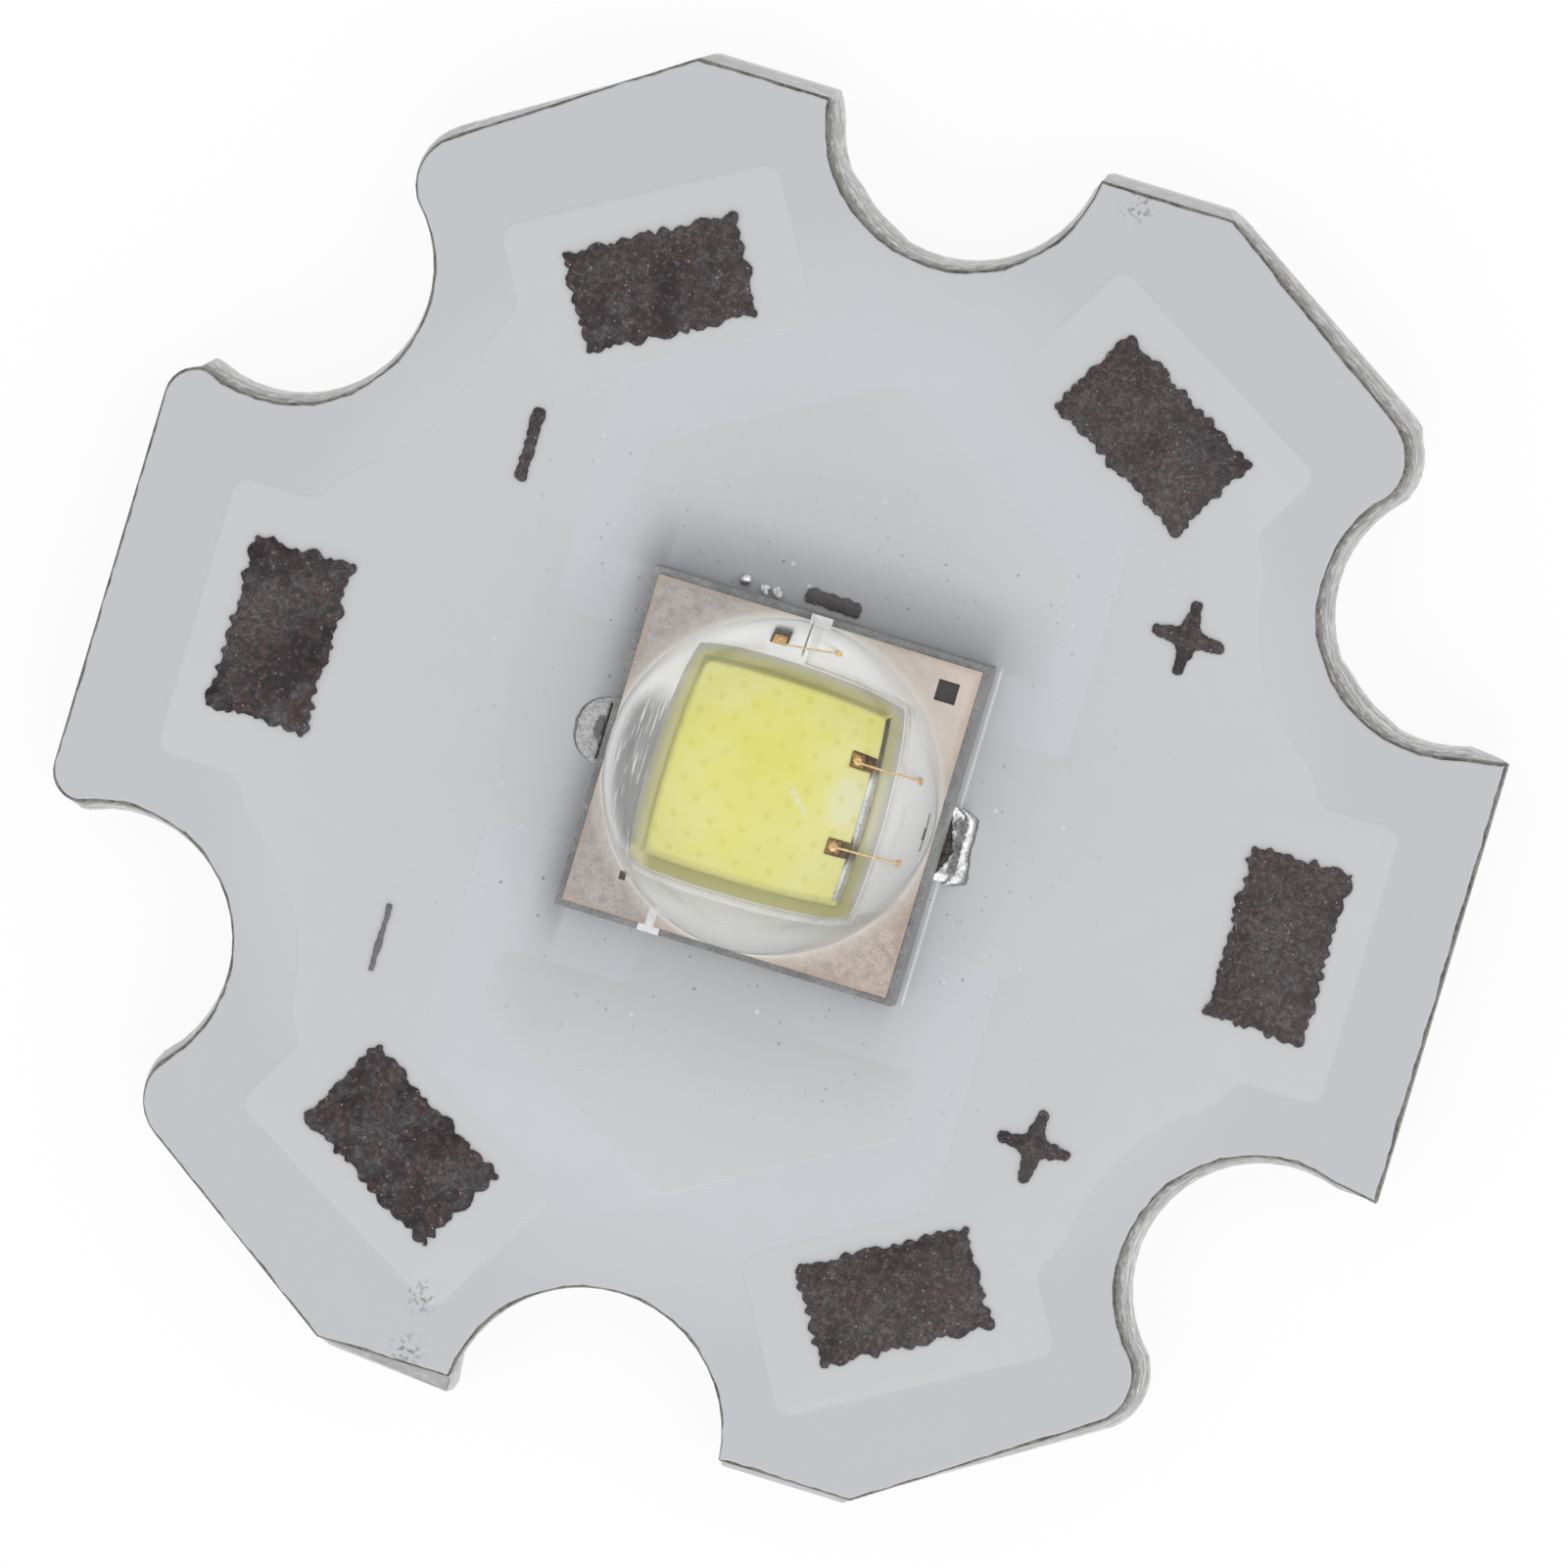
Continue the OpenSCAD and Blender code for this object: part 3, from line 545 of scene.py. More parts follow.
def inked(name, corners, draws, turn=0.0, middle=(0, 0), dot=0.078, pitch=0.18, corner=0.07,
          bottom=ink_bottom, top=ink_top):
    """A flat print of ink with a dotted edge that is rounded off at the top."""
    foot = dotted_outline(corners, dot, pitch, draws, corner=corner)
    crown = dotted_outline(corners, dot, pitch, draws, shrink=ink_round, corner=corner)
    bpy.ops.object.select_all(action="DESELECT")
    bpy.ops.mesh.primitive_circle_add(vertices=len(foot), radius=1, fill_type="NGON")
    piece = bpy.context.object
    piece.name = piece.data.name = name
    order = {(round(v.co.x, 5), round(v.co.y, 5)): v.index for v in piece.data.vertices}
    first = piece.data.vertices[1].co
    wise = 1 if piece.data.vertices[0].co.xy.cross(first.xy) > 0 else -1
    opened(piece)
    for rise in (0.6, 0.4):
        bpy.ops.mesh.extrude_region_move(TRANSFORM_OT_translate={"value": (0, 0, rise)})
    closed()
    swing = Matrix.Rotation(turn, 2)
    for point in piece.data.vertices:
        k = wise * order[(round(point.co.x, 5), round(point.co.y, 5))] % len(foot)
        spot = swing @ (crown if point.co.z > 0.8 else foot)[k] + Vector(middle)
        z = top if point.co.z > 0.8 else top - ink_round if point.co.z > 0.3 else bottom
        point.co = Vector((spot.x + ART.x, spot.y + ART.y, z)) * MM
    faced_out(piece)
    smoothed(50)
    return piece


def box_corners(width, depth):
    """Corners of a rectangle about its middle, counter-clockwise."""
    x, y = width / 2, depth / 2
    return [(-x, -y), (x, -y), (x, y), (-x, y)]


ink_finish, tree, shader = new_finish("dark_ink", Specular_IOR_Level=0.25)
patches = effect(tree, mottle, Lumps=1.1, Fineness=5.0, Share=0.4)
grit = effect(tree, mottle, Lumps=13.0, Fineness=2.5, Share=0.5)
sheet = effect(tree, mottle, Lumps=0.17, Fineness=4.0, Share=0.2)
tone = blend(tree, fade(tree, patches, 0.4, 0.6), (42, 36, 39), (79, 76, 78))
rust = effect(tree, mottle, Lumps=2.3, Fineness=4.0, Share=0.5)
tone = blend(tree, fade(tree, rust, 0.5, 0.62, 0.0, 0.8), tone, (84, 63, 61))
tone = blend(tree, fade(tree, sheet, 0.42, 0.62, 0.0, 0.5), tone, (96, 88, 86))
tone = blend(tree, fade(tree, grit, 0.42, 0.54, 0.6, 0.0), tone, (40, 34, 36))
tone = blend(tree, fade(tree, grit, 0.54, 0.68, 0.0, 0.6), tone, (124, 120, 120))
worn = distance(tree, (-4.765, -3.812, 0))
tone = blend(tree, fade(tree, worn, 0.9, 0.7, 0.0, 0.6), tone, (138, 134, 136))
dusty = distance(tree, (0.09, 2.8, 0))
tone = blend(tree, fade(tree, dusty, 0.8, 0.6, 0.0, 0.5), tone, (112, 109, 111))
glints = effect(tree, specks, Cells=13.0, Size=0.3, Share=0.13)
tone = blend(tree, times(tree, glints, 0.85), tone, (166, 162, 158))
feed(tree, shader,
     Base_Color=tone,
     Roughness=fade(tree, grit, 0.3, 0.7, 0.5, 0.85),
     Normal=relief(tree, grit, 0.035, 0.6))

for side, start in (("cathode", 180), ("anode", 0)):
    pads = []
    for k, swing in enumerate((-60, 0, 60)):
        heading = math.radians(start + swing)
        shift = pad_shifts[(start + swing) % 360]
        middle = (pad_reach * math.cos(heading) + shift[0], pad_reach * math.sin(heading) + shift[1])
        corners = box_corners(pad_depth, pad_width)
        pads.append(inked(f"pad_{side}_{k}", corners, start + 10 * k + 3, heading, middle))
    print_piece = joined(pads, f"{side}_pad_ink")
    print_piece.data.materials.append(ink_finish)
    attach(print_piece, "root")
    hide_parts(f"{side}_wire_pads")


# Polarity marks
# Two minus bars on the cathode side, two plus signs on the anode side and a short bar above the package.
# They are printed in the same dark ink, by hand-like strokes of dots.
minus_places = (((-4.825, 3.694), 0.18, 1.08, 0.03), ((-4.855, -3.682), 0.08, 1.0, 0.018))
plus_places = ((5.017, 3.795), (4.991, -3.797))
plus_reach, plus_half, plus_end = 0.54, 0.14, 0.065
bar_size, bar_place = (0.8, 0.23), (0.002, 2.8)
mark_bottom, bar_bottom = 1.68, 1.66

bars = []
for k, (middle, width, run, dot) in enumerate(minus_places):
    bars.append(inked(f"minus_{k}", box_corners(width, run), 61 + k, 0, middle,
                      dot=dot, pitch=0.14, corner=0.08, bottom=mark_bottom))
minus = joined(bars, "minus_bars")
arm = [Vector((-plus_end, -plus_reach)), Vector((plus_end, -plus_reach)), Vector((plus_half, -plus_half))]
cross = [Matrix.Rotation(math.radians(quarter), 2) @ spot for quarter in (0, 90, 180, 270) for spot in arm]
signs = []
for k, middle in enumerate(plus_places):
    signs.append(inked(f"plus_{k}", cross, 71 + k, 0, middle,
                       dot=0.03, pitch=0.13, corner=0.06, bottom=mark_bottom))
plus = joined(signs, "plus_signs")
centre_bar = inked("centre_bar", box_corners(*bar_size), 83, 0, bar_place,
                   dot=0.034, pitch=0.12, bottom=bar_bottom)
for piece, node in ((minus, "minus_marks"), (plus, "plus_marks"), (centre_bar, "centre_mark")):
    piece.data.materials.append(ink_finish)
    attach(piece, "root")
    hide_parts(node)


# Solder joints
# Tin solder that wets the board's lands and the pads under the package, and shows beside the package.
# The anode side is a bright hollow fillet, the cathode side a dull low half disc.
land_z, fillet_floor, fillet_z, disc_z, slab_top = 1.67, 1.7, 1.73, 1.71, 1.75
tucked, slit_gap, slit_half = 0.04, 0.08, 0.025


def solder_pool(name, side, lower, upper, far, surface, dark):
    """Solder beside the package: a fine grid pulled to a surface and closed below."""
    bpy.ops.object.select_all(action="DESELECT")
    bpy.ops.mesh.primitive_grid_add(x_subdivisions=36, y_subdivisions=48, size=2)
    piece = bpy.context.object
    piece.name = piece.data.name = name
    opened(piece)
    bpy.ops.mesh.extrude_region_move(TRANSFORM_OT_translate={"value": (0, 0, 1)})
    closed()
    near = package_half - tucked
    for face in piece.data.polygons:
        u, v = (face.center.x + 1) / 2, face.center.y
        face.material_index = dark(u, v) if face.center.z > 0.5 else 0
    for point in piece.data.vertices:
        u, v = (point.co.x + 1) / 2, point.co.y
        x = near + (far(v) - near) * u
        y = (lower + upper) / 2 + (upper - lower) / 2 * v
        rough = noise.noise(Vector((x * 7, y * 7, side * 5)))
        rough += 0.5 * noise.noise(Vector((x * 19, y * 19, side * 5)))
        x += 0.015 * rough * u
        top = max(fillet_floor, surface(u, v) + 0.01 * rough)
        point.co = (PACKAGE + Vector((side * x, y, top if point.co.z > 0.5 else land_z - 0.002))) * MM
    opened(piece)
    bpy.ops.mesh.remove_doubles(threshold=0.0005 * MM)
    bpy.ops.mesh.normals_make_consistent(inside=False)
    closed()
    smoothed(60)
    return piece


def hollow_far(v):
    """How far the anode solder reaches: a slanting outer edge with cut corners."""
    return 2.95 - 0.05 * v - 0.03 * math.exp(-(v / 0.35) ** 2) - 0.2 * max(0, abs(v) - 0.86) / 0.14


def hollow_surface(u, v):
    """The anode solder: climbs the package at both ends, is hollow between them and falls off outside."""
    ends = 0.7 * math.exp(-((v - 0.95) / 0.22) ** 2) + math.exp(-((v + 0.85) / 0.24) ** 2)
    rim = 0.05 * math.exp(-((u - 0.74) / 0.25) ** 2)
    return fillet_z + rim + 0.13 * (1 - u) * ends - 0.1 * max(0, (u - 0.74) / 0.26) ** 2


def hollow_flux_and_shade(u, v):
    """Burnt flux in the hollow, with a ragged edge, which also stands in for the shade and dark reflection of
    the package wall, and painted shade along the outer edge.
    """
    ragged = 0.1 * noise.noise(Vector((4.3, v * 4, 0.5))) + 0.06 * noise.noise(Vector((8.1, v * 11, 0.5)))
    return 1 if u < 0.46 - 0.5 * abs(v + 0.1) + ragged else 2 if u > 0.91 else 0


def disc_far(v):
    """How far the cathode solder reaches: a half disc."""
    return 2.54 + 0.52 * math.sqrt(max(0.0, 1 - abs(v) ** 2.4))


def disc_gap(u, v):
    """The distance from the package at a place on the cathode solder."""
    return (disc_far(v) - package_half + tucked) * u - tucked


def disc_surface(u, v):
    """The cathode solder: a low half disc with a slit next to the package."""
    round_off = math.sqrt(max(0.0, 1 - v * v))
    slit = 0.05 * math.exp(-((disc_gap(u, v) - slit_gap) / 0.03) ** 2) * round_off
    return disc_z + 0.06 * (1 - u ** 5) * round_off - slit


def disc_slit_shadow_and_patches(u, v):
    """Painted shadow in the slit, in the burnt-flux finish, duller solder beside it, and painted shade along
    the outer edge.
    """
    gap = disc_gap(u, v)
    if abs(gap - slit_gap) < slit_half and abs(v) < 0.84:
        return 1
    ragged = 0.3 * noise.noise(Vector((2.7, v * 5, gap * 14)))
    beside = ((gap - 0.17) / 0.07) ** 2 + ((v - 0.08) / 0.36) ** 2 + ragged < 1
    return 2 if beside or u > 0.93 else 0


bright_finish = clouded(
    "bright_solder", clouds=(6.0, 4.0, 0.4), dark=(186, 186, 186), light=(254, 254, 254),
    rough=(0.35, 0.65, 0.12, 0.3), bumps=(0.02, 0.4), Metallic=1.0)
dull_finish = clouded(
    "dull_solder", clouds=(7.0, 4.0, 0.5), dark=(152, 152, 152), light=(206, 206, 206),
    rough=(0.35, 0.65, 0.45, 0.65), bumps=(0.02, 0.4), Metallic=0.3)
# Grey solder, used for the duller patch beside the cathode slit and for painted shade along the outer edges
# of both joints.
grey_patch_and_shade_finish = clouded(
    "grey_patch_and_edge_shade", clouds=(9.0, 4.0, 0.5), dark=(104, 104, 104), light=(132, 132, 132),
    rough=(0.35, 0.65, 0.45, 0.65), bumps=(0.02, 0.4), Metallic=0.3)
# Burnt flux, which also serves as painted shade in the anode hollow and as painted shadow in the cathode
# slit.
flux_and_shade_finish = clouded(
    "flux_and_painted_shade", clouds=(11.0, 3.0, 0.5), dark=(42, 36, 35), light=(98, 86, 82), tones=(0.4, 0.62),
    rough=(0.35, 0.65, 0.25, 0.5), bumps=(0.03, 0.5), Specular_IOR_Level=0.4)

slab_inner, slab_outer, slab_half = 1.65, 2.49, 1.4
pools = (
    ("anode", 1, -0.67, 0.43, hollow_far, hollow_surface, hollow_flux_and_shade, bright_finish),
    ("cathode", -1, -0.5, 0.5, disc_far, disc_surface, disc_slit_shadow_and_patches, dull_finish),
)
for name, side, lower, upper, far, surface, dark, finish in pools:
    pool = solder_pool(f"{name}_pool", side, lower, upper, far, surface, dark)
    bpy.ops.object.select_all(action="DESELECT")
    bpy.ops.mesh.primitive_cube_add(size=1)
    under = bpy.context.object
    for point in under.data.vertices:
        x = side * (slab_inner if point.co.x < 0 else slab_outer)
        y = math.copysign(slab_half, point.co.y)
        point.co = (PACKAGE + Vector((x, y, slab_top if point.co.z > 0 else land_z))) * MM
    faced_out(under)
    rounded(under, 0.02)
    for piece in (pool, under):
        for coat in (finish, flux_and_shade_finish, grey_patch_and_shade_finish):
            piece.data.materials.append(coat)
    joint = joined([pool, under], f"{name}_solder_joint")
    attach(joint, "root")
    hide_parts(f"solder_{name}")
for name in ("solder_thermal", "die_attach"):
    dressed(name, dull_finish)


# Package pads
# Gold-plated copper pads on the underside of the ceramic, which the solder wets.
# Only their edges can be seen, from low down at the side.
gold_finish = clouded(
    "gold_plate", clouds=(9.0, 5.0, 0.4), dark=(206, 142, 58), light=(246, 196, 104),
    rough=(0.35, 0.65, 0.22, 0.4), bumps=(0.004, 0.5), Metallic=1.0)
for name in ("package_cathode_pad", "package_anode_pad", "package_thermal_pad"):
    dressed(name, gold_finish)


# Ceramic body
# A square of grey fired ceramic, diced from a larger tile, so its walls are rough and pitted.
# It is soldered to the board by the pads under it.
ceramic = copied("ceramic_substrate", "ceramic_body")
rounded(ceramic, 0.018)

ceramic_finish, tree, shader = new_finish("diced_ceramic", Specular_IOR_Level=0.4)
cloud = effect(tree, mottle, Lumps=2.2, Fineness=9.0, Share=0.5)
facing = axes(tree, add(tree, "NewGeometry").outputs["Normal"])[2]
top_face = fade(tree, facing, 0.6, 0.95)
saw = grain(tree, 6, (0.25, 0.25, 4), 3)
grey = blend(tree, fade(tree, cloud, 0.35, 0.65), (114, 115, 116), (146, 146, 147))
sawn = times(tree, fade(tree, saw, 0.45, 0.7), reckon(tree, "SUBTRACT", 1.0, top_face))
grey = blend(tree, sawn, grey, (150, 150, 151))
pits = effect(tree, specks, Cells=14.0, Size=0.34, Share=0.35)
grey = blend(tree, times(tree, pits, 0.6), grey, (62, 58, 60))
window = distance(tree, PACKAGE + Vector((2.01, 2.01, 0)))
grey = blend(tree, fade(tree, window, 0.3, 0.2), grey, (64, 65, 64))
feed(tree, shader,
     Base_Color=grey,
     Roughness=fade(tree, cloud, 0.3, 0.7, 0.4, 0.6),
     Normal=relief(tree, cloud, 0.02, 0.5))
ceramic.data.materials.append(ceramic_finish)
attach(ceramic, "root")
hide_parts("ceramic_substrate")


# Top metal
# The two plated electrodes on the ceramic. Under the lens they are bright silver,
# and the bare corners have dulled to a pinkish tan with browner edges.
lens_r = 2.42
metal_half = 2.425
metal_finish, tree, shader = new_finish("plated_silver")
spot = place(tree, (1, 1, 0), PACKAGE)
reach = length(tree, spot)
along = axes(tree, spot)
sides = widths(tree, spot)
rim = reckon(tree, "SUBTRACT", metal_half, reckon(tree, "MAXIMUM", sides[0], sides[1]))
cloud = effect(tree, mottle, Lumps=1.6, Fineness=14.0, Share=0.45)
silver = blend(tree, fade(tree, cloud, 0.4, 0.6), (238, 238, 237), (245, 245, 244))
# Painted light: the silver is made brighter towards the right side of the package.
silver = blend(tree, fade(tree, along[0], 0.9, 1.5, 0.0, 0.5), silver, (246, 246, 246))
# Painted light: the silver is near white in a band inside the lens rim, away from the right side.
painted_rim_light = times(tree, fade(tree, reach, 1.4, 1.66), fade(tree, along[0], 0.9, 0.2))
silver = blend(tree, painted_rim_light, silver, (252, 252, 251))
# Painted shade: the silver just below the chip is darker.
below = times(tree, fade(tree, along[1], -1.5, -1.2), fade(tree, along[1], -1.0, -1.1))
silver = blend(tree, times(tree, below, 0.7), silver, (204, 204, 200))
# Painted dark reflection: the silver left of the chip is darker and streaked, where the metal mirrors the dim
# side of the light tent.
painted_dark_reflection = times(tree, fade(tree, along[0], -1.06, -1.2), fade(tree, reach, 1.8, 1.5))
for start, end in ((0.75, 0.3), (-1.25, -0.9)):
    painted_dark_reflection = times(tree, painted_dark_reflection, fade(tree, along[1], start, end))
scratched = grain(tree, 40, (1, 0.06, 1), 4)
streaked_dark_reflection = blend(tree, fade(tree, scratched, 0.54, 0.64), (154, 155, 155), (224, 224, 223))
silver = blend(tree, painted_dark_reflection, silver, streaked_dark_reflection)
scribe = reckon(tree, "ABSOLUTE", reckon(tree, "ADD", along[0], 0.09))
scribe = times(tree, fade(tree, scribe, 0.014, 0.005), fade(tree, along[1], 1.3, 1.4))
silver = blend(tree, scribe, silver, (120, 118, 112))
crumbly = effect(tree, mottle, Lumps=9.0, Fineness=4.0, Share=0.5)
tan = blend(tree, fade(tree, crumbly, 0.38, 0.62), (148, 140, 136), (206, 199, 194))
warm = fade(tree, reckon(tree, "SUBTRACT", along[0], times(tree, along[1], 0.3)), -1.5, 2.5)
cool_tan = blend(tree, 0.6, tan, (160, 156, 154))
tan = blend(tree, warm, cool_tan, blend(tree, 0.5, tan, (180, 160, 144)))
upper_tan = blend(tree, warm, tan, (214, 202, 192))
tan = blend(tree, fade(tree, along[1], 0.6, 1.5, 0.0, 0.85), tan, upper_tan)
wander = reckon(tree, "ADD", rim, times(tree, reckon(tree, "SUBTRACT", cloud, 0.5), 0.4))
tan = blend(tree, fade(tree, wander, 0.13, 0.0, 0.0, 0.5), tan, (172, 150, 132))
tan = blend(tree, fade(tree, reach, lens_r + 0.3, lens_r + 0.02, 0.0, 0.42), tan, (230, 222, 211))
bare = fade(tree, reach, lens_r - 0.1, lens_r + 0.1)
plate = blend(tree, bare, silver, tan)
dark_marks = ((1.87, 0.0, 0.014, 0.23), (1.855, -0.02, 0.035, 0.07), (-1.69, -1.85, 0.045, 0.06))
for x, y, half_w, half_d in dark_marks:
    off = widths(tree, place(tree, (1, 1, 0), PACKAGE + Vector((x, y, 0))))
    mark = times(tree, fade(tree, off[0], half_w + 0.006, half_w), fade(tree, off[1], half_d + 0.006, half_d))
    plate = blend(tree, mark, plate, (70, 68, 66))
# Painted light: a near-white, less metallic crescent near the lens rim on the lower left; the bare tan
# corners are duller metal.
lower_left = reckon(tree, "ADD", times(tree, along[0], -0.8), times(tree, along[1], -0.6))
painted_light_crescent = times(tree, fade(tree, reach, 1.7, 1.85), fade(tree, lower_left, 0.3, 1.2))
matte_and_painted_light = reckon(tree, "MAXIMUM", bare, painted_light_crescent)
shining = times(tree, painted_light_crescent, fade(tree, bare, 1.0, 0.0))
feed(tree, shader,
     Base_Color=blend(tree, shining, plate, (252, 252, 252)),
     Metallic=fade(tree, matte_and_painted_light, 0.0, 1.0, 0.75, 0.1),
     Roughness=fade(tree, cloud, 0.35, 0.65, 0.36, 0.5),
     Normal=relief(tree, times(tree, crumbly, bare), 0.004, 0.25))
for name in ("top_metal_cathode", "top_metal_anode"):
    dressed(name, metal_finish)


# Gap fill
# The white insulating paste in the narrow gap between the two electrodes.
# At the ceramic's edges it widens to a foot, like a T.
stem_half, stem_from, stem_rise = 0.065, 1.75, 0.006
gap_half, gap_top = 0.04, 2.49
stems = ((0, 1), (-1.12, -1))
gap = copied("gap_fill", "gap_paste")
for point in gap.data.vertices:
    spot = point.co / MM - PACKAGE
    for x, end in stems:
        if abs(spot.x - x) < 0.05 and spot.y * end > stem_from:
            point.co.x += math.copysign(stem_half - gap_half, spot.x - x) * MM
    if spot.z > gap_top and abs(spot.y) > stem_from:
        point.co.z += stem_rise * MM
rounded(gap, 0.004)

paste_finish, tree, shader = new_finish("white_paste", Specular_IOR_Level=0.35)
reach = distance(tree, PACKAGE)
bare = fade(tree, reach, lens_r - 0.16, lens_r - 0.06)
cloud = effect(tree, mottle, Lumps=5.0, Fineness=4.0, Share=0.4)
white = blend(tree, fade(tree, cloud, 0.35, 0.65), (214, 215, 216), (232, 232, 232))
wetted = blend(tree, fade(tree, cloud, 0.35, 0.65), (225, 224, 221), (238, 237, 234))
upper = axes(tree, place(tree, (1, 1, 0), PACKAGE))[1]
wetted = blend(tree, fade(tree, upper, 1.2, 1.45), wetted, (238, 237, 234))
feed(tree, shader,
     Base_Color=blend(tree, bare, wetted, white),
     Metallic=fade(tree, bare, 0.0, 1.0, 0.75, 0.0),
     Roughness=fade(tree, cloud, 0.3, 0.7, 0.34, 0.5),
     Normal=relief(tree, cloud, 0.008, 0.4))
gap.data.materials.append(paste_finish)
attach(gap, "root")
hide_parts("gap_fill")


# Chip
# The diced light-emitting chip, glued to the cathode metal, with two gold bond pads near its right edge.
# Its edges are a silvery grey where the phosphor leaves them bare.
CHIP = PACKAGE + Vector((0, 0.06, 0))
bond_places = ((0.8, 0.46), (0.8, -0.46))
die_finish, tree, shader = new_finish("diced_chip", Metallic=0.7)
cloud = effect(tree, mottle, Lumps=5.0, Fineness=5.0, Share=0.4)
face = blend(tree, fade(tree, cloud, 0.35, 0.65), (196, 200, 208), (236, 238, 242))
upper = axes(tree, place(tree, (1, 1, 0), CHIP))[1]
face = blend(tree, fade(tree, upper, 0.5, 0.6), face, (84, 80, 68))
burnt = blend(tree, fade(tree, cloud, 0.4, 0.6), (62, 48, 26), (112, 90, 50))
for x, y in bond_places:
    near = distance(tree, CHIP + Vector((x, y, 0)))
    face = blend(tree, fade(tree, near, 0.26, 0.18), face, burnt)
feed(tree, shader,
     Base_Color=face,
     Roughness=fade(tree, cloud, 0.3, 0.7, 0.25, 0.4),
     Normal=relief(tree, cloud, 0.004, 0.3))
dressed("led_die", die_finish)
bond_finish = clouded(
    "bonded_gold", clouds=(14.0, 3.0, 0.4), dark=(96, 70, 32), light=(190, 142, 70), tones=(0.38, 0.62),
    rough=(0.35, 0.65, 0.3, 0.5), bumps=(0.008, 0.5), Metallic=0.8)
dressed("die_bond_pads", bond_finish)


# Phosphor coat
# The yellow phosphor in silicone that covers the chip and thins out over the metal round it.
# It is notched at the two bond pads, and shows a faint grid of darker dots from the chip below.
cap_half, cap_corner, rim_half = 1.045, 0.1, 1.2
floor_z, rim_z = 2.5, 2.54
bare_strip, bare_below, notch_shrink, notch_half = 0.045, 0.5, 0.035, 0.12
cap_low, cap_top, cap_round = 2.6, 2.7, 0.025
phosphor = copied("phosphor_layer", "phosphor_coat")
for point in phosphor.data.vertices:
    spot = point.co / MM - CHIP
    if floor_z + 0.02 < spot.z < rim_z + 0.01 and (max(abs(spot.x), abs(spot.y)) > 1.02 or spot.x > 0.99):
        outer = max(abs(spot.x), abs(spot.y)) > rim_half - 0.01
        point.co.z = (floor_z + (-0.001 if outer else 0.006)) * MM
    elif spot.z < floor_z + 0.01:
        point.co.z -= 0.01 * MM
    if abs(spot.x - 1) < 0.01 and spot.z > cap_low and spot.y < bare_below:
        point.co.x -= bare_strip * MM
    for x, y in bond_places:
        if abs(abs(spot.y - y) - notch_half) < 0.01 and spot.z > cap_low:
            point.co.y -= math.copysign(notch_shrink, spot.y - y) * MM
            if abs(spot.x - x + notch_half) < 0.01:
                point.co.x += notch_shrink * MM
points = phosphor.data.vertices
chosen(phosphor, "EDGE", lambda edge: all(points[k].co.z > cap_top * MM for k in edge.vertices))
bpy.ops.mesh.bevel(offset=cap_round * MM, segments=3, affect="EDGES", clamp_overlap=True)
closed()
smoothed(40)

phosphor_finish, tree, shader = new_finish("yellow_phosphor", Specular_IOR_Level=0.2)
spot = place(tree, (1, 1, 0), CHIP)
along = axes(tree, spot)
height = axes(tree, place(tree))[2]
sides = widths(tree, spot)
past = [reckon(tree, "SUBTRACT", side, cap_half - cap_corner) for side in sides[:2]]
past = [reckon(tree, "MAXIMUM", side, 0.0) for side in past]
past = add(tree, "CombineXYZ", {0: past[0], 1: past[1]}).outputs[0]
out = reckon(tree, "SUBTRACT", length(tree, past), cap_corner)
cloud = effect(tree, mottle, Lumps=0.9, Fineness=5.0, Share=0.25)
tilted = add(tree, "Mapping", {"Vector": spot, "Rotation": (0, 0, math.radians(42))}).outputs[0]
dots = add(tree, "TexVoronoi", {"Vector": tilted, "Scale": 4.0, "Randomness": 0.12},
           voronoi_dimensions="2D").outputs["Distance"]
yellow = blend(tree, fade(tree, cloud, 0.36, 0.64), (247, 243, 134), (250, 248, 168))
centre = length(tree, spot)
yellow = blend(tree, fade(tree, centre, 0.9, 0.2, 0.0, 0.6), yellow, (238, 232, 104))
pale = distance(tree, CHIP + Vector((0.8, 0.02, 0)), (1, 0.7, 0))
yellow = blend(tree, fade(tree, pale, 0.26, 0.1, 0.0, 0.75), yellow, (248, 247, 206))
scuff = add(tree, "Mapping", {"Vector": place(tree, (1, 1, 0), CHIP + Vector((0.3, -0.11, 0))),
                              "Rotation": (0, 0, math.radians(45))}).outputs[0]
scuff = widths(tree, scuff)
scuffed = times(tree, fade(tree, scuff[0], 0.19, 0.14), fade(tree, scuff[1], 0.05, 0.02))
scuffed = times(tree, scuffed, fade(tree, grain(tree, 26, detail=3), 0.46, 0.57))
yellow = blend(tree, scuffed, yellow, (244, 242, 206))
yellow = blend(tree, fade(tree, dots, 0.24, 0.05, 0.0, 0.4), yellow, (228, 222, 104))
soft = times(tree, fade(tree, out, -0.07, 0.0, 0.0, 0.6), fade(tree, along[0], 0.99, 0.93))
yellow = blend(tree, soft, yellow, (212, 208, 138))
edge = times(tree, fade(tree, out, -0.03, -0.008), fade(tree, along[1], 0.6, 0.9))
yellow = blend(tree, times(tree, edge, 0.3), yellow, (128, 122, 80))
low = fade(tree, height, 2.6, 2.56)
olive = blend(tree, fade(tree, along[1], -0.8, 0.8), (200, 196, 138), (230, 225, 172))
olive = blend(tree, fade(tree, along[0], -0.9, -1.05), olive, (238, 234, 186))
between = times(tree, fade(tree, along[0], 0.98, 1.06), fade(tree, sides[1], 0.5, 0.3))
olive = blend(tree, between, olive, (240, 238, 204))
outward_part = reckon(tree, "ADD", out, fade(tree, along[1], -0.95, -1.05, 0.0, -0.1))
thin = times(tree, low, fade(tree, outward_part, 0.0, 0.15))
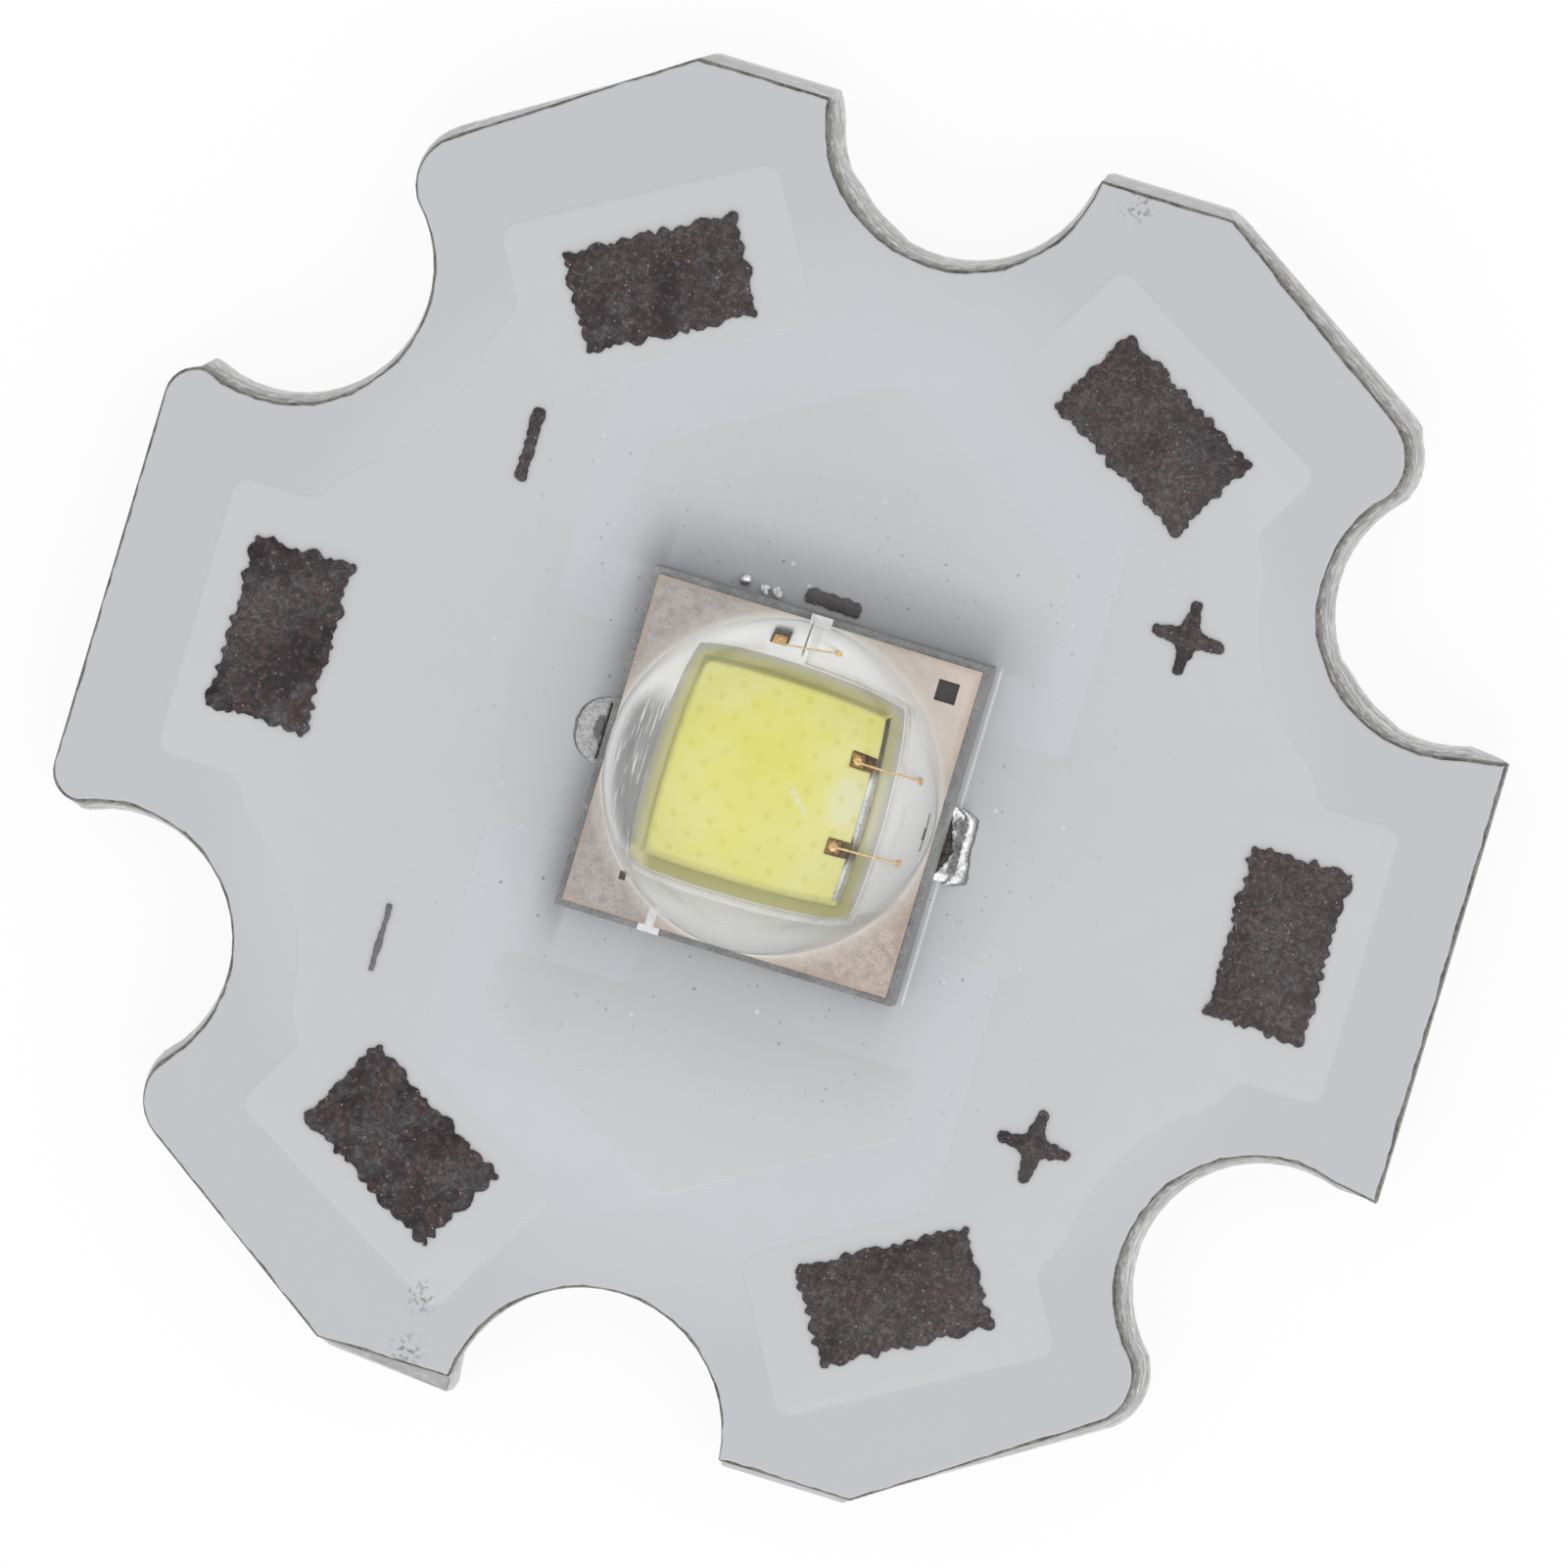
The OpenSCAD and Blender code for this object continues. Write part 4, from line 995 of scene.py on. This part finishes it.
# Painted shade: the thin coat over the plated metal is darker grey on the chip's left side.
left_painted_shade = times(tree, fade(tree, along[0], -0.9, -1.05), fade(tree, along[1], 0.8, 0.4))
plated = blend(tree, left_painted_shade, (214, 214, 211), (190, 190, 184))
haze = blend(tree, thin, olive, plated)
feed(tree, shader,
     Base_Color=blend(tree, low, yellow, haze),
     Metallic=fade(tree, thin, 0.0, 1.0, 0.0, 0.75),
     Roughness=fade(tree, cloud, 0.3, 0.7, 0.5, 0.65),
     Normal=relief(tree, cloud, 0.01, 0.3))
phosphor.data.materials.append(phosphor_finish)
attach(phosphor, "root")
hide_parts("phosphor_layer")


# Protection diode
# A tiny dark square of silicon glued to the cathode metal above the chip, with a gold pad on top.
# It was diced like the chip, so its edges are only slightly rounded.
diode_finish = clouded(
    "dark_silicon", clouds=(10.0, 4.0, 0.4), dark=(52, 48, 44), light=(92, 88, 82),
    rough=(0.3, 0.7, 0.2, 0.4), bumps=(0.004, 0.4), Metallic=0.4)
dressed("diode_bond_pad", gold_finish)
diode = copied("protection_diode", "diode_block")
rounded(diode, 0.01)
diode.data.materials.append(diode_finish)
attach(diode, "root")
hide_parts("protection_diode")


# Gold wires
# Thin drawn gold wire, welded as a ball on each bond pad and pressed flat on the anode metal.
# Two run from the chip and one from the protection diode.
wire_r = 0.013
ball_r, ball_t = 0.052, 0.045
wire_finish = clouded(
    "drawn_gold", clouds=(12.0, 4.0, 0.4), dark=(226, 176, 104), light=(250, 222, 170),
    rough=(0.35, 0.65, 0.25, 0.4), bumps=(0.003, 0.4), Metallic=0.8)
chip_top, diode_top, metal_top = 2.73, 2.66, 2.5
chip_runs = [((x, y, chip_top), (1.54, y, metal_top)) for x, y in bond_places]
diode_runs = [((-0.36, 1.5, diode_top), (0.272, 1.5, metal_top))]
wire_runs = {"chip_wires": ("die_wires", chip_runs), "diode_thread": ("diode_wire", diode_runs)}


def thread(name, points, radius):
    """A round wire along five points."""
    bpy.ops.object.select_all(action="DESELECT")
    bpy.ops.curve.primitive_nurbs_path_add()
    piece = bpy.context.object
    piece.name = name
    spline = piece.data.splines[0]
    for control, spot in zip(spline.points, points):
        control.co = (*(Vector(spot) * MM), 1)
    spline.use_endpoint_u = True
    spline.order_u = 4
    piece.data.resolution_u = 8
    piece.data.bevel_depth = radius * MM
    piece.data.bevel_resolution = 2
    piece.data.use_fill_caps = True
    bpy.ops.object.convert(target="MESH")
    piece.data.name = name
    bpy.ops.object.shade_smooth()
    return piece


def cut_below(piece, height):
    """Cuts a piece off below a height and closes it there."""
    opened(piece)
    bpy.ops.mesh.bisect(plane_co=(0, 0, height * MM), plane_no=(0, 0, 1),
                        clear_inner=True, use_fill=True, threshold=0.0001 * MM)
    closed()


def pressed_ball(name, spot, radius, thick):
    """A ball of metal pressed flat on what it is welded to."""
    bpy.ops.object.select_all(action="DESELECT")
    bpy.ops.mesh.primitive_uv_sphere_add(segments=20, ring_count=12, radius=radius * MM)
    piece = bpy.context.object
    piece.name = name
    cut = 0.3 * radius
    cut_below(piece, -cut)
    for point in piece.data.vertices:
        rise = (point.co.z / MM + cut) / (radius + cut)
        point.co = Vector((point.co.x, point.co.y, rise * thick * MM)) + Vector(spot) * MM
    smoothed(50)
    return piece


for name, (node, runs) in wire_runs.items():
    parts = []
    for k, (start, end) in enumerate(runs):
        a, b = Vector(start) + CHIP, Vector(end) + CHIP
        way = b - a
        path = [a + Vector((0, 0, 0.03)), a + Vector((0.02, 0, 0.13)), a + way * 0.3 + Vector((0, 0, 0.15)),
                a + way * 0.75 + Vector((0, 0, 0.1)), b + Vector((0, 0, 0.015))]
        parts.append(thread(f"{name}_{k}", path, wire_r))
        parts.append(pressed_ball(f"{name}_ball_{k}", a, ball_r, ball_t))
        parts.append(pressed_ball(f"{name}_foot_{k}", b, ball_r * 0.9, ball_t * 0.5))
    wires = joined(parts, name)
    wires.data.materials.append(wire_finish)
    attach(wires, "root")
    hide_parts(node)


# Flux remains
# A small ball of stray solder and a crumb of white flux against the upper side of the package.
# Both were left when the package was soldered on.
bead_place, bead_r = (-1.2, 2.62, 1.675), 0.09
crumb_place, crumb_parts = (-0.82, 2.56, 1.72), 14
crumb_spans = ((-0.15, 0.15), (-0.03, 0.06), (-0.03, 0.05))
bpy.ops.object.select_all(action="DESELECT")
bpy.ops.mesh.primitive_ico_sphere_add(subdivisions=3, radius=bead_r * MM)
bead = bpy.context.object
bead.name = bead.data.name = "solder_bead"
for point in bead.data.vertices:
    lump = 1 + 0.08 * noise.noise(point.co / MM * 14)
    squat = max(point.co.z / MM * lump, -0.5 * bead_r) + 0.5 * bead_r
    point.co = Vector((point.co.x * lump, point.co.y * lump, squat * MM)) + Vector(bead_place) * MM
bpy.ops.object.shade_smooth()
bead.data.materials.append(bright_finish)
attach(bead, "root")

generator = random.Random(17)
grains = []
for k in range(crumb_parts):
    size = generator.uniform(0.025, 0.05)
    off = Vector([generator.uniform(*span) for span in crumb_spans])
    bpy.ops.object.select_all(action="DESELECT")
    bpy.ops.mesh.primitive_ico_sphere_add(subdivisions=2, radius=size * MM)
    grain_piece = bpy.context.object
    for point in grain_piece.data.vertices:
        lump = 1 + 0.4 * noise.noise(point.co / MM * 30 + off * 40)
        point.co = point.co * lump + (Vector(crumb_place) + off) * MM
    grains.append(grain_piece)
crumb = joined(grains, "flux_crumb")
crumb_finish = clouded(
    "white_flux", clouds=(12.0, 3.0, 0.5), dark=(206, 207, 209), light=(240, 240, 241),
    rough=(0.3, 0.7, 0.4, 0.7), bumps=(0.01, 0.5), Specular_IOR_Level=0.4)
crumb.data.materials.append(crumb_finish)
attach(crumb, "root")


# Lens
# The clear silicone dome moulded over the chip, a half ball on a short straight foot.
# It is cast straight onto the metal, so the chip and its wires are embedded in it.
lens_foot_z, dome_z = 2.49, 2.58
bpy.ops.object.select_all(action="DESELECT")
bpy.ops.mesh.primitive_uv_sphere_add(segments=288, ring_count=144, radius=lens_r * MM)
dome = bpy.context.object
dome.name = dome.data.name = "silicone_dome"
cut_below(dome, 0)
chosen(dome, "FACE", lambda face: face.normal.z < -0.9)
bpy.ops.mesh.extrude_region_move(TRANSFORM_OT_translate={"value": (0, 0, (lens_foot_z - dome_z) * MM)})
closed()
dome.data.transform(Matrix.Translation((PACKAGE + Vector((0, 0, dome_z))) * MM))
smoothed(40)

lens_finish, tree, shader = new_finish("clear_silicone", IOR=1.5, Transmission_Weight=1.0)
cloud = effect(tree, mottle, Lumps=1.2, Fineness=8.0, Share=0.3)
feed(tree, shader,
     Base_Color=blend(tree, fade(tree, cloud, 0.3, 0.7), (252, 253, 253), (255, 255, 255)),
     Roughness=fade(tree, cloud, 0.45, 0.7, 0.0, 0.04))
dome.data.materials.append(lens_finish)
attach(dome, "root")
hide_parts("silicone_lens")


# Floor and light
# A plain white floor that keeps a faint shadow.
# Over it stands an even white tent of light that is brighter from the lower right.
bpy.ops.object.select_all(action="DESELECT")
bpy.ops.mesh.primitive_plane_add(size=2, location=(0, 0, -0.01 * MM))
floor = bpy.context.object
floor.name = "floor"
floor_finish = bpy.data.materials.new("white_floor")
floor_finish.use_nodes = True
tree = floor_finish.node_tree
tree.nodes.clear()
path = add(tree, "LightPath").outputs
seen = reckon(tree, "MAXIMUM", path["Is Camera Ray"],
              reckon(tree, "MAXIMUM", path["Is Glossy Ray"], path["Is Transmission Ray"]))
paper = add(tree, "BsdfDiffuse", {"Color": (0.95, 0.95, 0.95, 1)}).outputs[0]
glow = add(tree, "Emission", {"Color": (1, 1, 1, 1), "Strength": 1.0}).outputs[0]
both = add(tree, "MixShader", {0: times(tree, seen, 0.88), 1: paper, 2: glow}).outputs[0]
tree.links.new(both, add(tree, "OutputMaterial").inputs["Surface"])
floor.data.materials.append(floor_finish)

world = bpy.context.scene.world or bpy.data.worlds.new("tent")
bpy.context.scene.world = world
world.use_nodes = True
tree = world.node_tree
tree.nodes.clear()
path = add(tree, "LightPath").outputs
bright_side = Vector((0.4, -0.55, 0.73)).normalized()
sky = add(tree, "TexCoord").outputs["Generated"]
toward = add(tree, "VectorMath", {0: sky, 1: bright_side}, operation="DOT_PRODUCT").outputs["Value"]
strength = fade(tree, toward, -0.7, 1.0, 0.468, 1.278)
tent = add(tree, "Background", {"Color": (1, 1, 1, 1), "Strength": strength}).outputs[0]
plain = add(tree, "Background", {"Color": (1, 1, 1, 1), "Strength": 1.0}).outputs[0]
both = add(tree, "MixShader", {0: path["Is Camera Ray"], 1: tent, 2: plain}).outputs[0]
tree.links.new(both, add(tree, "OutputWorld").inputs["Surface"])
